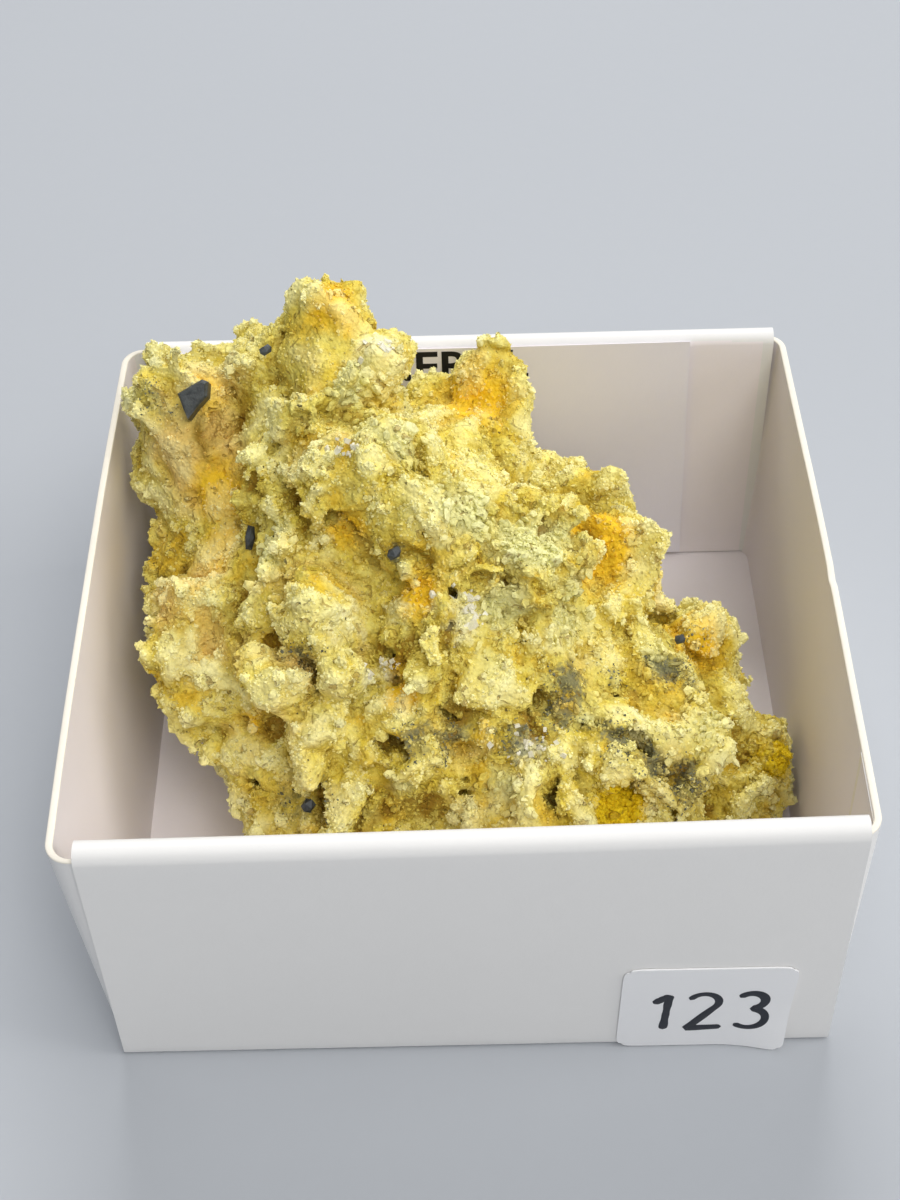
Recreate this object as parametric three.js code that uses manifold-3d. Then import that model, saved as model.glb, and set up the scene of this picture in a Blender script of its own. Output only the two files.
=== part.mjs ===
// A crumbly lump of bilinite that stands in its small folded-card specimen tray.
// Millimetres, +Z up. Origin: middle of the tray's base, on the surface it stands on.
// X runs along the front panel, Y from the front panel to the back.
import * as THREE from "three";
import { mergeVertices } from "three/addons/utils/BufferGeometryUtils.js";
import Module from "manifold-3d";

const wasm = await Module();
wasm.setup();

// tray
const panelWidth = 41; // front and back panels, cut straight at both ends
const trayDepth = 41; // outside of front panel to outside of back panel, at the base
const trayHeight = 20; // to the top of the rolled front and back edges
const card = 0.4; // one sheet
const rolledWall = 0.9; // front and back: the sheet folded over a corner flap, at the foot
const frontRoll = 1.6; // across the roll at the top, where the card springs apart
const backRoll = 1.35;
const sideRimDrop = 0.7; // the single side walls end this far below the rolled edges
const frontLean = [0.55, 0]; // how far a wall's top stands out past its base, at its left and right end
const backLean = [0.55, 0.55];
const leftLean = 1.3; // the lump pushes this wall out
const rightLean = 0.45;
const sideOverhang = 0.3; // side walls wrap just outside the ends of the panels
const cornerRadius = 1.2;
const flapLength = 6; // corner flap that is tucked into the rolled walls
const floorTuck = 0.05; // how far the floor runs into the side walls
const trim = 0.02; // edges shorter than this are merged away after a join

// paper
const gap = 0.3; // between pieces that rest on each other
const labelWidth = 34.5;
const labelHeight = 18.9;
const labelThickness = 0.3;
const labelRightEdge = 15;
const labelLean = backLean[0] - (backRoll - rolledWall); // it follows the inside of the back panel
const stickerWidth = 9.8;
const stickerHeight = 8;
const stickerThickness = 0.15;
const stickerLeftEdge = 8.2;
const stickerLift = 0.15; // clear of the surface that the tray stands on
const stickerGap = 0.1;

// lump: rounded lobes, each from one point to another with a radius at each end
const lobes = {
  belly: [[-6.5, -0.5, 10], [2, -1, 9.3], 8.6, 7.8],
  frontFoot: [[-5.5, -6, 6.5], [6, -6.8, 6.2], 6.4, 6],
  frontCrust: [[-6.4, -5.4, 10.8], [3, -6.2, 9.6], 5, 4.8],
  leftFoot: [[-7.6, -5, 6.5], [-8.6, -3, 13], 4.2, 4.4],
  leftCrust: [[-8.8, -1.4, 15.4], [-7.6, 2, 19.4], 4.5, 4.2],
  middleCrust: [[-2.8, -2, 15.4], [0.6, 0.6, 16.8], 4.6, 4.2],
  centreCrust: [[-6.8, -1.6, 17.4], [-1.6, -2.4, 16.4], 4.3, 4.2],
  midLobe: [[-8.2, 4, 14], [-7.8, 6.8, 21.4], 5.4, 4.9],
  peak: [[-7.6, 9.8, 22], [-7.4, 13.2, 28.6], 4.6, 1.4],
  peakSpur: [[-7.0, 10, 24], [-5.4, 11, 24.4], 2.7, 1.4],
  nose: [[-6, 4.2, 20], [-6.2, 3.6, 22.8], 4.2, 3.2],
  ridge: [[-3, 3.4, 20.4], [3.7, 1.2, 19], 4.1, 2.6],
  leftShoulder: [[-10.5, 10, 19], [-10.8, 11.6, 23.8], 3.8, 3],
  saddle: [[-4, 10, 16], [-0.5, 10.6, 15.8], 6, 4.8],
  back: [[-8, 10, 9], [0, 10.5, 9], 8, 7],
  leftUpper: [[-13.8, 9.5, 13.4], [-16.6, 12.2, 20.4], 4.8, 4.2],
  leftMid: [[-13.5, 5.5, 9], [-14.4, 5, 12], 4.6, 4.2],
  leftBulge: [[-12.6, 1, 10.6], [-16.6, 0.5, 12.9], 4.2, 3.4],
  leftLow: [[-11.5, -2.4, 7.2], [-12.9, -2.6, 9.4], 4.2, 3.5],
  rightFlank: [[6, 0, 9], [10.2, -2, 8.1], 6.8, 6],
  rightCrust: [[6.2, -3, 11], [9.8, -3.6, 9.6], 4.6, 4.4],
  rightLobe: [[13.5, -3.5, 4.6], [17.1, -3.2, 5], 4.6, 3.6],
  rightLow: [[10, -7.5, 4.6], [13.5, -7.2, 4], 5.2, 3.7],
  rearRidgeA: [[1, 10.8, 11], [5.6, 7.5, 11.5], 5.2, 4.5],
  rearRidgeB: [[7, 6.6, 10.8], [12.4, 1.4, 7.8], 4.5, 3.7],
  knob: [[7, 8, 15.2], [8.8, 8, 17.2], 2.4, 1],
  orangeLump: [[7.4, 4.6, 14], [8.1, 4.2, 16], 2.6, 2.1],
  rightKnob: [[11.4, 1.2, 8], [11.8, 0.6, 8.4], 2.6, 2.3],
  horn: [[0.3, 12.5, 15.2], [3, 15.2, 21.4], 2.5, 1.1],
};
// holes and grooves between the crumbs: a radius and the points of a line
const pits = {
  lobeGroove: [
    0.9, [-15.6, 9.2, 22.6], [-13.4, 5, 22.1], [-12.1, 2.7, 21.6], [-12.4, 2.4, 19.2],
    [-13.2, 0.1, 18], [-12.9, -2, 17.6], [-12.5, -6.4, 15.4], [-12.1, -5.9, 12.6],
  ],
  noseGroove: [0.8, [-9.8, 2, 23.1], [-8.6, 0.3, 22.6], [-6.6, -0.4, 22.6]],
  ridgePit: [0.9, [-3.6, -2, 22.2], [-2.2, -2.4, 21.6]],
  ridgeGroove: [0.8, [1.6, -3.4, 20.6], [3.4, -3.2, 20], [5.4, -2.5, 19.6], [8.9, 1, 16.5]],
  crystalHole: [0.9, [-0.6, -5, 19.6], [-0.2, -2.8, 17.8]],
  centrePit: [0.6, [-4.4, -6.6, 17.4], [-4, -5.2, 16.4]],
  wedgePit: [0.9, [-5.1, -10.1, 14.3], [-4.6, -7.4, 12.4]],
  rightPit: [1, [4, -8.1, 15.2], [3.4, -5.4, 13.2]],
  greyGroove: [
    0.8, [-3.1, -9.6, 15.1], [-0.9, -9, 13.9], [2.8, -9, 14.2], [5.4, -7.3, 14.9],
    [6.2, -5.9, 15.7],
  ],
  footGroove: [0.7, [-9.8, -10, 11.8], [-7.6, -10.9, 10.4], [-3.4, -11.3, 11]],
  flankGroove: [0.8, [9.4, -4.4, 14.9], [11.9, -3.1, 13.9], [13.8, -3.6, 13.3]],
  flankPit: [0.7, [8.6, -8.6, 13.4], [10.6, -9.2, 12], [12.4, -9.6, 11.2]],
  peakCrease: [0.7, [-9.6, 5.6, 26.8], [-6, 6.4, 27], [-3.4, 6.2, 26]],
};
// dark lignite chips set in the crust: a point outside, where it heads inward, half sizes, turn
const chips = {
  leftChip: [[-16.1, 4.3, 29.5], [-16.1, 12.5, 21.5], [0.9, 0.6, 1.2], 25],
  creaseChip: [[-12.7, -2.4, 24.5], [-12.7, 5.6, 16.5], [0.35, 0.35, 0.8], -10],
};
const lobeBlend = 0.8; // how softly lobes run together
const skin = 0.3; // taken off all round, for the finer crumbs
// round crumbs, each size with its own spacing, height, level and seed
const crumbSizes = {
  large: [5.6, 2.2, 0.52, 20],
  small: [2.7, 2.1, 0.42, 21],
};
const crumbRoundness = 1.2;
const swayWidth = 4.2; // the whole form is swayed by smooth noise of two widths
const swayReach = 1.2;
const waverWidth = 1.9;
const waverReach = 0.5;
const netStep = 1.15; // edge of the cells that the lump is faceted in
const lumpBox = { low: [-22.6, -17, -0.9], high: [22.4, 20.2, 32.6] };

// ---- closed solids -------------------------------------------------------

function toManifold(geometry) {
  const bare = geometry.clone();
  bare.deleteAttribute("normal");
  bare.deleteAttribute("uv");
  const merged = mergeVertices(bare, 1e-4);
  return new wasm.Manifold(new wasm.Mesh({
    numProp: 3,
    vertProperties: new Float32Array(merged.attributes.position.array),
    triVerts: new Uint32Array(merged.index.array),
  }));
}

function fromManifold(solid) {
  const mesh = solid.getMesh();
  const geometry = new THREE.BufferGeometry();
  const points = [];
  for (let i = 0; i < mesh.numVert; i += 1) {
    const at = i * mesh.numProp;
    points.push(mesh.vertProperties[at], mesh.vertProperties[at + 1], mesh.vertProperties[at + 2]);
  }
  geometry.setAttribute("position", new THREE.Float32BufferAttribute(points, 3));
  geometry.setIndex(Array.from(mesh.triVerts));
  geometry.computeVertexNormals();
  return geometry;
}

// prism between two outlines of the same number of points, given anticlockwise from above
function looseWall(base, top, baseZ, topZ) {
  const count = base.length;
  const points = [];
  base.forEach(([x, y]) => points.push(x, y, baseZ));
  top.forEach(([x, y]) => points.push(x, y, topZ));
  const faces = [];
  for (let i = 0; i < count; i += 1) {
    const next = (i + 1) % count;
    faces.push(i, next, count + next, i, count + next, count + i);
  }
  const flat = base.map(([x, y]) => new THREE.Vector2(x, y));
  THREE.ShapeUtils.triangulateShape(flat, []).forEach(([a, b, c]) => {
    faces.push(a, c, b, count + a, count + b, count + c);
  });
  const geometry = new THREE.BufferGeometry();
  geometry.setAttribute("position", new THREE.Float32BufferAttribute(points, 3));
  geometry.setIndex(faces);
  return geometry;
}

// ---- tray ----------------------------------------------------------------

// lean of a panel at a place along it
function leanAt(lean, x) {
  return THREE.MathUtils.lerp(lean[0], lean[1], x / panelWidth + 0.5);
}

// front or back: a slab with a round rolled top, then leant out; side = -1 front, +1 back
function rolledPanel(side, lean, roll) {
  const outer = trayDepth / 2;
  const rise = trayHeight - roll / 2;
  const section = new THREE.Shape();
  section.moveTo(outer, 0);
  section.lineTo(outer, rise);
  section.absarc(outer - roll / 2, rise, roll / 2, 0, Math.PI, false);
  section.lineTo(outer - rolledWall, 0);
  section.closePath();
  const settings = { depth: panelWidth, bevelEnabled: false, curveSegments: 5 };
  const panel = new THREE.ExtrudeGeometry(section, settings);
  panel.translate(0, 0, -panelWidth / 2);
  panel.rotateX(Math.PI / 2);
  panel.rotateZ(side * Math.PI / 2);
  const points = panel.attributes.position;
  for (let i = 0; i < points.count; i += 1) {
    const outward = leanAt(lean, points.getX(i)) * Math.min(points.getZ(i) / rise, 1);
    points.setY(i, points.getY(i) + side * outward);
  }
  return toManifold(panel);
}

// outline of one side sheet from above: its flaps turn the corners into both rolled walls
function sideOutline(faceX, frontY, backY) {
  const inset = (rolledWall - card) / 2;
  const outside = [];
  const inside = [];
  const cornerSteps = 4;
  const corners = [
    { centreY: backY - inset - cornerRadius, start: 90, flapY: backY - inset, first: true },
    { centreY: frontY + inset + cornerRadius, start: 180, flapY: frontY + inset, first: false },
  ];
  corners.forEach(({ centreY, start, flapY, first }) => {
    const centreX = faceX + cornerRadius;
    const inward = first ? -card : card;
    const flapEnd = [centreX + flapLength, flapY];
    const flapEndInside = [centreX + flapLength, flapY + inward];
    if (first) {
      outside.push(flapEnd);
      inside.push(flapEndInside);
    }
    for (let i = 0; i <= cornerSteps; i += 1) {
      const angle = THREE.MathUtils.degToRad(start + (90 * i) / cornerSteps);
      const inner = cornerRadius - card;
      outside.push([centreX + cornerRadius * Math.cos(angle), centreY + cornerRadius * Math.sin(angle)]);
      inside.push([centreX + inner * Math.cos(angle), centreY + inner * Math.sin(angle)]);
    }
    if (!first) {
      outside.push(flapEnd);
      inside.push(flapEndInside);
    }
  });
  return outside.concat(inside.reverse());
}

// side = -1 left, +1 right
function sideSheet(side, lean) {
  const half = trayDepth / 2;
  const faceX = -(panelWidth / 2 + sideOverhang);
  const base = sideOutline(faceX, -half, half);
  const end = side < 0 ? 0 : 1;
  const top = sideOutline(faceX - lean, -half - frontLean[end], half + backLean[end]);
  const place = (outline) => (side < 0 ? outline : outline.map(([x, y]) => [-x, y]).reverse());
  return toManifold(looseWall(place(base), place(top), 0, trayHeight - sideRimDrop));
}

function specimenTray() {
  const floorWidth = panelWidth + 2 * (sideOverhang - card + floorTuck);
  const floor = new THREE.BoxGeometry(floorWidth, trayDepth - rolledWall, card);
  floor.translate(0, 0, card / 2);
  const solid = rolledPanel(-1, frontLean, frontRoll)
    .add(rolledPanel(1, backLean, backRoll))
    .add(sideSheet(-1, leftLean))
    .add(sideSheet(1, rightLean))
    .add(toManifold(floor));
  return fromManifold(solid.simplify(trim));
}

// ---- lump ----------------------------------------------------------------

function hash(i, j, k, seed) {
  const s = Math.sin(i * 127.1 + j * 311.7 + k * 74.7 + seed * 53.3) * 43758.5453;
  return s - Math.floor(s);
}

function ease(t) {
  return t * t * (3 - 2 * t);
}

// smooth random value from -1 to 1, one new value per unit
function valueNoise([x, y, z], seed) {
  const [i, j, k] = [Math.floor(x), Math.floor(y), Math.floor(z)];
  const [u, v, w] = [ease(x - i), ease(y - j), ease(z - k)];
  let total = 0;
  for (let corner = 0; corner < 8; corner += 1) {
    const [a, b, c] = [corner & 1, (corner >> 1) & 1, corner >> 2];
    const weight = (a ? u : 1 - u) * (b ? v : 1 - v) * (c ? w : 1 - w);
    total += weight * hash(i + a, j + b, k + c, seed);
  }
  return total * 2 - 1;
}

// distance to the nearest of many scattered points, one point per unit cube
function crumbNoise([x, y, z], seed) {
  const [i, j, k] = [Math.floor(x), Math.floor(y), Math.floor(z)];
  let nearest = 9;
  for (let n = 0; n < 27; n += 1) {
    const [a, b, c] = [i + (n % 3) - 1, j + (Math.floor(n / 3) % 3) - 1, k + Math.floor(n / 9) - 1];
    const dx = a + hash(a, b, c, seed) - x;
    const dy = b + hash(a, b, c, seed + 1) - y;
    const dz = c + hash(a, b, c, seed + 2) - z;
    nearest = Math.min(nearest, Math.hypot(dx, dy, dz));
  }
  return nearest;
}

function lobeDepth(point, from, to, r0, r1) {
  const along = new THREE.Vector3(...to).sub(new THREE.Vector3(...from));
  const offset = new THREE.Vector3(...point).sub(new THREE.Vector3(...from));
  const t = THREE.MathUtils.clamp(offset.dot(along) / Math.max(along.lengthSq(), 1e-9), 0, 1);
  return r0 + (r1 - r0) * t - offset.addScaledVector(along, -t).length();
}

function swayed(point) {
  return point.map((c, axis) => {
    const sway = valueNoise(point.map((v) => v / swayWidth), 11 + axis);
    const waver = valueNoise(point.map((v) => v / waverWidth), 14 + axis);
    return c + swayReach * sway + waverReach * waver;
  });
}

// millimetres inside the lump, negative outside
function lumpDepth(point) {
  const q = swayed(point);
  let total = 1e-30;
  Object.values(lobes).forEach(([from, to, r0, r1]) => {
    total += Math.exp(lobeDepth(q, from, to, r0, r1) / lobeBlend);
  });
  let depth = lobeBlend * Math.log(total) - skin;
  Object.values(crumbSizes).forEach(([spacing, height, level, seed]) => {
    const reach = crumbNoise(q.map((c) => c / spacing), seed);
    depth += height * (level - crumbRoundness * reach * reach);
  });
  Object.values(pits).forEach(([radius, ...line]) => {
    line.slice(1).forEach((to, n) => {
      depth = Math.min(depth, -lobeDepth(q, line[n], to, radius, radius));
    });
  });
  return depth;
}

// keeps the lump off the tray's floor, its side walls and the label behind it
function trayLimit([x, y, z]) {
  const rise = z / trayHeight;
  const inner = panelWidth / 2 + sideOverhang - card - gap;
  const backFace = trayDepth / 2 - rolledWall - 2 * gap - labelThickness;
  return Math.min(
    z - card - gap,
    x + inner + leftLean * rise,
    inner + rightLean * rise - x,
    backFace + labelLean * rise - y,
  );
}

// cells whose inside or outside corners fall in two groups would pinch the surface
function cornersJoin(mask) {
  const corners = [0, 1, 2, 3, 4, 5, 6, 7];
  const joined = (want) => {
    const members = corners.filter((c) => ((mask >> c) & 1) === want);
    const reached = new Set(members.slice(0, 1));
    for (let pass = 0; pass < 8; pass += 1) {
      members.forEach((c) => {
        if ([1, 2, 4].some((bit) => reached.has(c ^ bit))) {
          reached.add(c);
        }
      });
    }
    return reached.size === members.length;
  };
  return joined(1) && joined(0);
}

// one vertex in each cell that the surface crosses and one quad for each crossed cell edge
function surfaceNet(depthAt, { low, high }, step) {
  const size = low.map((c, i) => Math.ceil((high[i] - c) / step) + 1);
  const cell = (i, j, k) => (i * size[1] + j) * size[2] + k;
  const values = new Float64Array(size[0] * size[1] * size[2]);
  for (let i = 0; i < size[0]; i += 1) {
    for (let j = 0; j < size[1]; j += 1) {
      for (let k = 0; k < size[2]; k += 1) {
        values[cell(i, j, k)] = depthAt([low[0] + i * step, low[1] + j * step, low[2] + k * step]);
      }
    }
  }
  const offsets = [0, 1, 2, 3, 4, 5, 6, 7].map((c) => cell(c & 1, (c >> 1) & 1, c >> 2));
  const allowed = Array.from({ length: 256 }, (_, mask) => cornersJoin(mask));
  const maskAt = (at) => offsets.reduce((mask, o, c) => mask | (values[at + o] > 0 ? 1 << c : 0), 0);
  const eachCell = (visit) => {
    for (let i = 0; i < size[0] - 1; i += 1) {
      for (let j = 0; j < size[1] - 1; j += 1) {
        for (let k = 0; k < size[2] - 1; k += 1) {
          visit(cell(i, j, k), [i, j, k]);
        }
      }
    }
  };
  let changed = true;
  while (changed) {
    changed = false;
    eachCell((at) => {
      if (!allowed[maskAt(at)]) {
        const outside = offsets.map((o) => at + o).filter((n) => values[n] <= 0);
        const nearest = outside.reduce((best, n) => (values[n] > values[best] ? n : best));
        values[nearest] = 0.05;
        changed = true;
      }
    });
  }
  const vertexOf = new Int32Array(values.length).fill(-1);
  const points = [];
  eachCell((at, origin) => {
    const mask = maskAt(at);
    if (mask === 0 || mask === 255) {
      return;
    }
    const sum = new THREE.Vector3();
    let crossings = 0;
    [0, 1, 2].forEach((axis) => {
      for (let c = 0; c < 8; c += 1) {
        const other = c | (1 << axis);
        if (other !== c && ((mask >> c) & 1) !== ((mask >> other) & 1)) {
          const a = values[at + offsets[c]];
          const place = [c & 1, (c >> 1) & 1, c >> 2];
          place[axis] += a / (a - values[at + offsets[other]]);
          sum.add(new THREE.Vector3(...place));
          crossings += 1;
        }
      }
    });
    vertexOf[at] = points.length / 3;
    sum.divideScalar(crossings);
    points.push(...[sum.x, sum.y, sum.z].map((c, i) => low[i] + (origin[i] + c) * step));
  });
  const strides = [cell(1, 0, 0), cell(0, 1, 0), cell(0, 0, 1)];
  const faces = [];
  eachCell((at, origin) => {
    [0, 1, 2].forEach((axis) => {
      const [u, v] = [(axis + 1) % 3, (axis + 2) % 3];
      const isIn = values[at] > 0;
      if (isIn === values[at + strides[axis]] > 0 || origin[u] === 0 || origin[v] === 0) {
        return;
      }
      const ring = [
        vertexOf[at - strides[u] - strides[v]],
        vertexOf[at - strides[v]],
        vertexOf[at],
        vertexOf[at - strides[u]],
      ];
      const [a, b, c, d] = isIn ? ring : ring.reverse();
      faces.push(a, b, c, a, c, d);
    });
  });
  const geometry = new THREE.BufferGeometry();
  geometry.setAttribute("position", new THREE.Float32BufferAttribute(points, 3));
  geometry.setIndex(faces);
  return geometry;
}

// an angular chip, half sunk where its inward line meets the surface
function seatedChip([outside, inward, halfSizes, turn], depthAt) {
  const from = new THREE.Vector3(...outside);
  const to = new THREE.Vector3(...inward);
  const steps = 200;
  let seat = to;
  for (let i = 0; i <= steps; i += 1) {
    const point = from.clone().lerp(to, i / steps);
    if (depthAt(point.toArray()) > 0) {
      seat = point;
      break;
    }
  }
  const chip = new THREE.DodecahedronGeometry(1);
  chip.scale(...halfSizes);
  chip.rotateY(THREE.MathUtils.degToRad(turn));
  chip.translate(seat.x, seat.y, seat.z);
  return toManifold(chip);
}

function mineralLump() {
  const depthAt = (point) => Math.min(lumpDepth(point), trayLimit(point));
  const parts = toManifold(surfaceNet(depthAt, lumpBox, netStep)).decompose();
  let solid = parts.reduce((best, part) => (part.volume() > best.volume() ? part : best));
  Object.values(chips).forEach((chip) => {
    solid = solid.add(seatedChip(chip, depthAt));
  });
  return fromManifold(solid.simplify(trim));
}

// ---- paper ---------------------------------------------------------------

// a flat slip whose foot stands at (x, y, z), leaning by a rise angle about X
function paperSlip(width, height, thickness, lean) {
  const slip = new THREE.BoxGeometry(width, thickness, height);
  slip.translate(width / 2, 0, height / 2);
  slip.rotateX(lean);
  return slip;
}

function nameLabel() {
  const lean = -Math.atan(labelLean / trayHeight);
  const slip = paperSlip(labelWidth, labelHeight, labelThickness, lean);
  const y = trayDepth / 2 - rolledWall - gap - labelThickness / 2;
  slip.translate(labelRightEdge - labelWidth, y, card + gap);
  return slip;
}

function numberSticker() {
  const middle = stickerLeftEdge + stickerWidth / 2;
  const lean = Math.atan(leanAt(frontLean, middle) / trayHeight);
  const slip = paperSlip(stickerWidth, stickerHeight, stickerThickness, lean);
  const y = -trayDepth / 2 - stickerGap - stickerThickness / 2;
  slip.translate(stickerLeftEdge, y, stickerLift);
  return slip;
}

// ---- assembly ------------------------------------------------------------

const white = { color: 0xe9e8e6, roughness: 0.6, metalness: 0 };
const specimen = new THREE.Group();
const pieces = {
  bilinite_lump: [mineralLump(), { color: 0xcdbb68, roughness: 0.95, metalness: 0 }],
  specimen_tray: [specimenTray(), white],
  name_label: [nameLabel(), { color: 0xdcdde4, roughness: 0.7, metalness: 0 }],
  number_sticker: [numberSticker(), { color: 0xf2f2f2, roughness: 0.5, metalness: 0 }],
};
Object.entries(pieces).forEach(([name, [geometry, finish]]) => {
  const mesh = new THREE.Mesh(geometry, new THREE.MeshStandardMaterial(finish));
  mesh.name = name;
  specimen.add(mesh);
});

export default specimen;
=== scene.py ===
import math

import bpy
import numpy as np
from mathutils import Matrix, Vector


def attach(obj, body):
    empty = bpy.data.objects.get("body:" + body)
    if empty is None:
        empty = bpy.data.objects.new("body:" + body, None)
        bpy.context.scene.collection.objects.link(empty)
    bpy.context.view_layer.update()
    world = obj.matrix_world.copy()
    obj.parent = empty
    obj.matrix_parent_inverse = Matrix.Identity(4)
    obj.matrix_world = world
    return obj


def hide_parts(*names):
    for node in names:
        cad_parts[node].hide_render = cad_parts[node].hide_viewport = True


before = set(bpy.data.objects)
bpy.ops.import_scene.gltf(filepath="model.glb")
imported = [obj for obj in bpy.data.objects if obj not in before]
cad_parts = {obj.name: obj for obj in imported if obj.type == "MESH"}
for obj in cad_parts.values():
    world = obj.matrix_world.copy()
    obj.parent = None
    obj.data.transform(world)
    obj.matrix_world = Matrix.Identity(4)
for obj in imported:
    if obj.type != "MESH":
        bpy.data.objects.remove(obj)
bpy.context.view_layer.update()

mm = 0.001  # everything below is worked out in millimetres and scaled once, in newPiece


def placed(name, data):
    item = bpy.data.objects.new(name, data)
    bpy.context.scene.collection.objects.link(item)
    return item


# Points are millimetres. Faces hold a row of corner numbers each, finishes a material number each, and
# values one number for each point.
def newPiece(name, points, faces, materials, replaced=None, smooth=False, finishes=0, values=None):
    mesh = bpy.data.meshes.new(name)
    mesh.vertices.add(len(points))
    mesh.vertices.foreach_set("co", (points * mm).astype(np.float32).ravel())
    mesh.loops.add(faces.size)
    mesh.loops.foreach_set("vertex_index", faces.astype(np.int32).ravel())
    mesh.polygons.add(len(faces))
    mesh.polygons.foreach_set("loop_start", np.arange(0, faces.size, faces.shape[1], dtype=np.int32))
    mesh.polygons.foreach_set("use_smooth", np.full(len(faces), smooth))
    for material in materials:
        mesh.materials.append(material)
    mesh.polygons.foreach_set("material_index", np.broadcast_to(finishes, len(faces)).astype(np.int32))
    mesh.update(calc_edges=True)
    if smooth:
        mesh.set_sharp_from_angle(angle=math.radians(40))
    piece = placed(name, mesh)
    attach(piece, "root")
    if replaced:
        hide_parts(replaced)
    for key, value in (values or {}).items():
        layer = mesh.attributes.new(key, "FLOAT", "POINT")
        layer.data.foreach_set("value", value.astype(np.float32))


# Points and triangles of an object once its modifiers are applied. The object goes afterwards.
def readOff(holder):
    bpy.context.view_layer.update()
    mesh = holder.evaluated_get(bpy.context.evaluated_depsgraph_get()).to_mesh()
    mesh.calc_loop_triangles()
    points = np.empty(len(mesh.vertices) * 3)
    mesh.vertices.foreach_get("co", points)
    triangles = np.empty(len(mesh.loop_triangles) * 3, np.int32)
    mesh.loop_triangles.foreach_get("vertices", triangles)
    holder.to_mesh_clear()
    bpy.data.objects.remove(holder)
    return points.reshape(-1, 3), triangles.reshape(-1, 3)


# The three corners of each triangle, or four of each quad.
def cornersOf(points, faces):
    return (points[faces[:, n]] for n in range(faces.shape[1]))


view = {
    "target": (-1.0, 7.9, 8.2),  # the point that the middle of the lens looks at
    "distance": 129.2,
    "azimuth": 0.47,
    "elevation": 46.31,
    "roll": -1.64,
    "lens": 59.35,  # on a 36 mm long side
}


# back = (sin a cos e, -cos a cos e, sin e); the level right and up vectors are then turned by the roll.
def addCamera():
    a, e, roll = (math.radians(view[key]) for key in ("azimuth", "elevation", "roll"))
    back = Vector((math.sin(a) * math.cos(e), -math.cos(a) * math.cos(e), math.sin(e)))
    level = Vector((math.cos(a), math.sin(a), 0))
    rise = back.cross(level)
    right = math.cos(roll) * level + math.sin(roll) * rise
    up = math.cos(roll) * rise - math.sin(roll) * level
    lens = bpy.data.cameras.new("camera")
    lens.sensor_width = 36
    lens.lens = view["lens"]
    lens.clip_start = 0.001
    camera = placed("camera", lens)
    place = (Vector(view["target"]) + view["distance"] * back) * mm
    camera.matrix_world = Matrix.Translation(place) @ Matrix((right, up, back)).transposed().to_4x4()
    bpy.context.scene.camera = camera
    bpy.context.scene.view_settings.view_transform = "Standard"


softboxes = {
    # place, size, watts, tint
    "frontBox": ((100, -380, 480), 300, 1.2, (1.0, 0.985, 0.96)),
    "slantBox": ((180, -180, 560), 360, 1.0, (1.0, 0.985, 0.965)),
    "backBox": ((0, 420, 480), 300, 2.4, (1.0, 0.99, 0.98)),
    "rightBox": ((520, -60, 300), 300, 1.2, (1.0, 0.98, 0.95)),
}
studio = {
    "aim": (0, 0, 10),  # what the softboxes face, inside the lump
    "air": (0.88, 0.93, 1.0),
    "airStrength": 0.3,
    "floorHalf": 2500,
}


def addSoftbox(name):
    place, size, watts, tint = softboxes[name]
    light = bpy.data.lights.new(name, "AREA")
    light.size = size * mm
    light.energy = watts
    light.color = tint
    lamp = placed(name, light)
    lamp.location = Vector(place) * mm
    lamp.rotation_euler = (Vector(place) - Vector(studio["aim"])).to_track_quat("Z", "Y").to_euler()


def addWorld():
    world = bpy.data.worlds.new("air")
    world.use_nodes = True
    sky = world.node_tree.nodes["Background"]
    sky.inputs["Color"].default_value = (*studio["air"], 1)
    sky.inputs["Strength"].default_value = studio["airStrength"]
    bpy.context.scene.world = world


addCamera()
for lampName in softboxes:
    addSoftbox(lampName)
addWorld()
print("camera and lights set")


# Inputs are sockets to link or values to set; settings are the node's own.
def addNode(tree, kind, inputs=None, **settings):
    node = tree.nodes.new("ShaderNode" + kind)
    for key, value in settings.items():
        setattr(node, key, value)
    for key, value in (inputs or {}).items():
        if isinstance(value, bpy.types.NodeSocket):
            tree.links.new(value, node.inputs[key])
        else:
            node.inputs[key].default_value = value
    return node


def noiseValue(tree, vector, scale, detail=3.0, roughness=0.55, distortion=0.0):
    inputs = {"Vector": vector, "Scale": scale, "Detail": detail, "Roughness": roughness,
              "Distortion": distortion}
    return addNode(tree, "TexNoise", inputs).outputs["Fac"]


def remap(tree, value, low, high, newLow=0.0, newHigh=1.0):
    inputs = {"Value": value, "From Min": low, "From Max": high, "To Min": newLow, "To Max": newHigh}
    return addNode(tree, "MapRange", inputs).outputs["Result"]


def combine(tree, operation, a, b):
    return addNode(tree, "Math", {0: a, 1: b}, operation=operation).outputs[0]


def blendColour(tree, factor, first, second, mode="MIX"):
    inputs = {0: factor, 6: first, 7: second}
    return addNode(tree, "Mix", inputs, data_type="RGBA", blend_type=mode).outputs[2]


def tinted(tree, colour, tone):
    grey = addNode(tree, "CombineColor", {0: tone, 1: tone, 2: tone})
    return blendColour(tree, 1.0, colour, grey.outputs[0], "MULTIPLY")


def attributeValue(tree, name):
    return addNode(tree, "Attribute", attribute_name=name).outputs["Fac"]


def objectVector(tree):
    return addNode(tree, "TexCoord").outputs["Object"]


# Colour, roughness and a bump of a depth in millimetres, into a material's shader.
def finishShader(tree, shader, colour, roughness, height, depth, strength):
    bump = addNode(tree, "Bump", {"Height": height, "Distance": depth * mm, "Strength": strength})
    sockets = {"Base Color": colour, "Roughness": roughness, "Normal": bump.outputs["Normal"]}
    for key, socket in sockets.items():
        tree.links.new(socket, shader.inputs[key])


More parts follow.
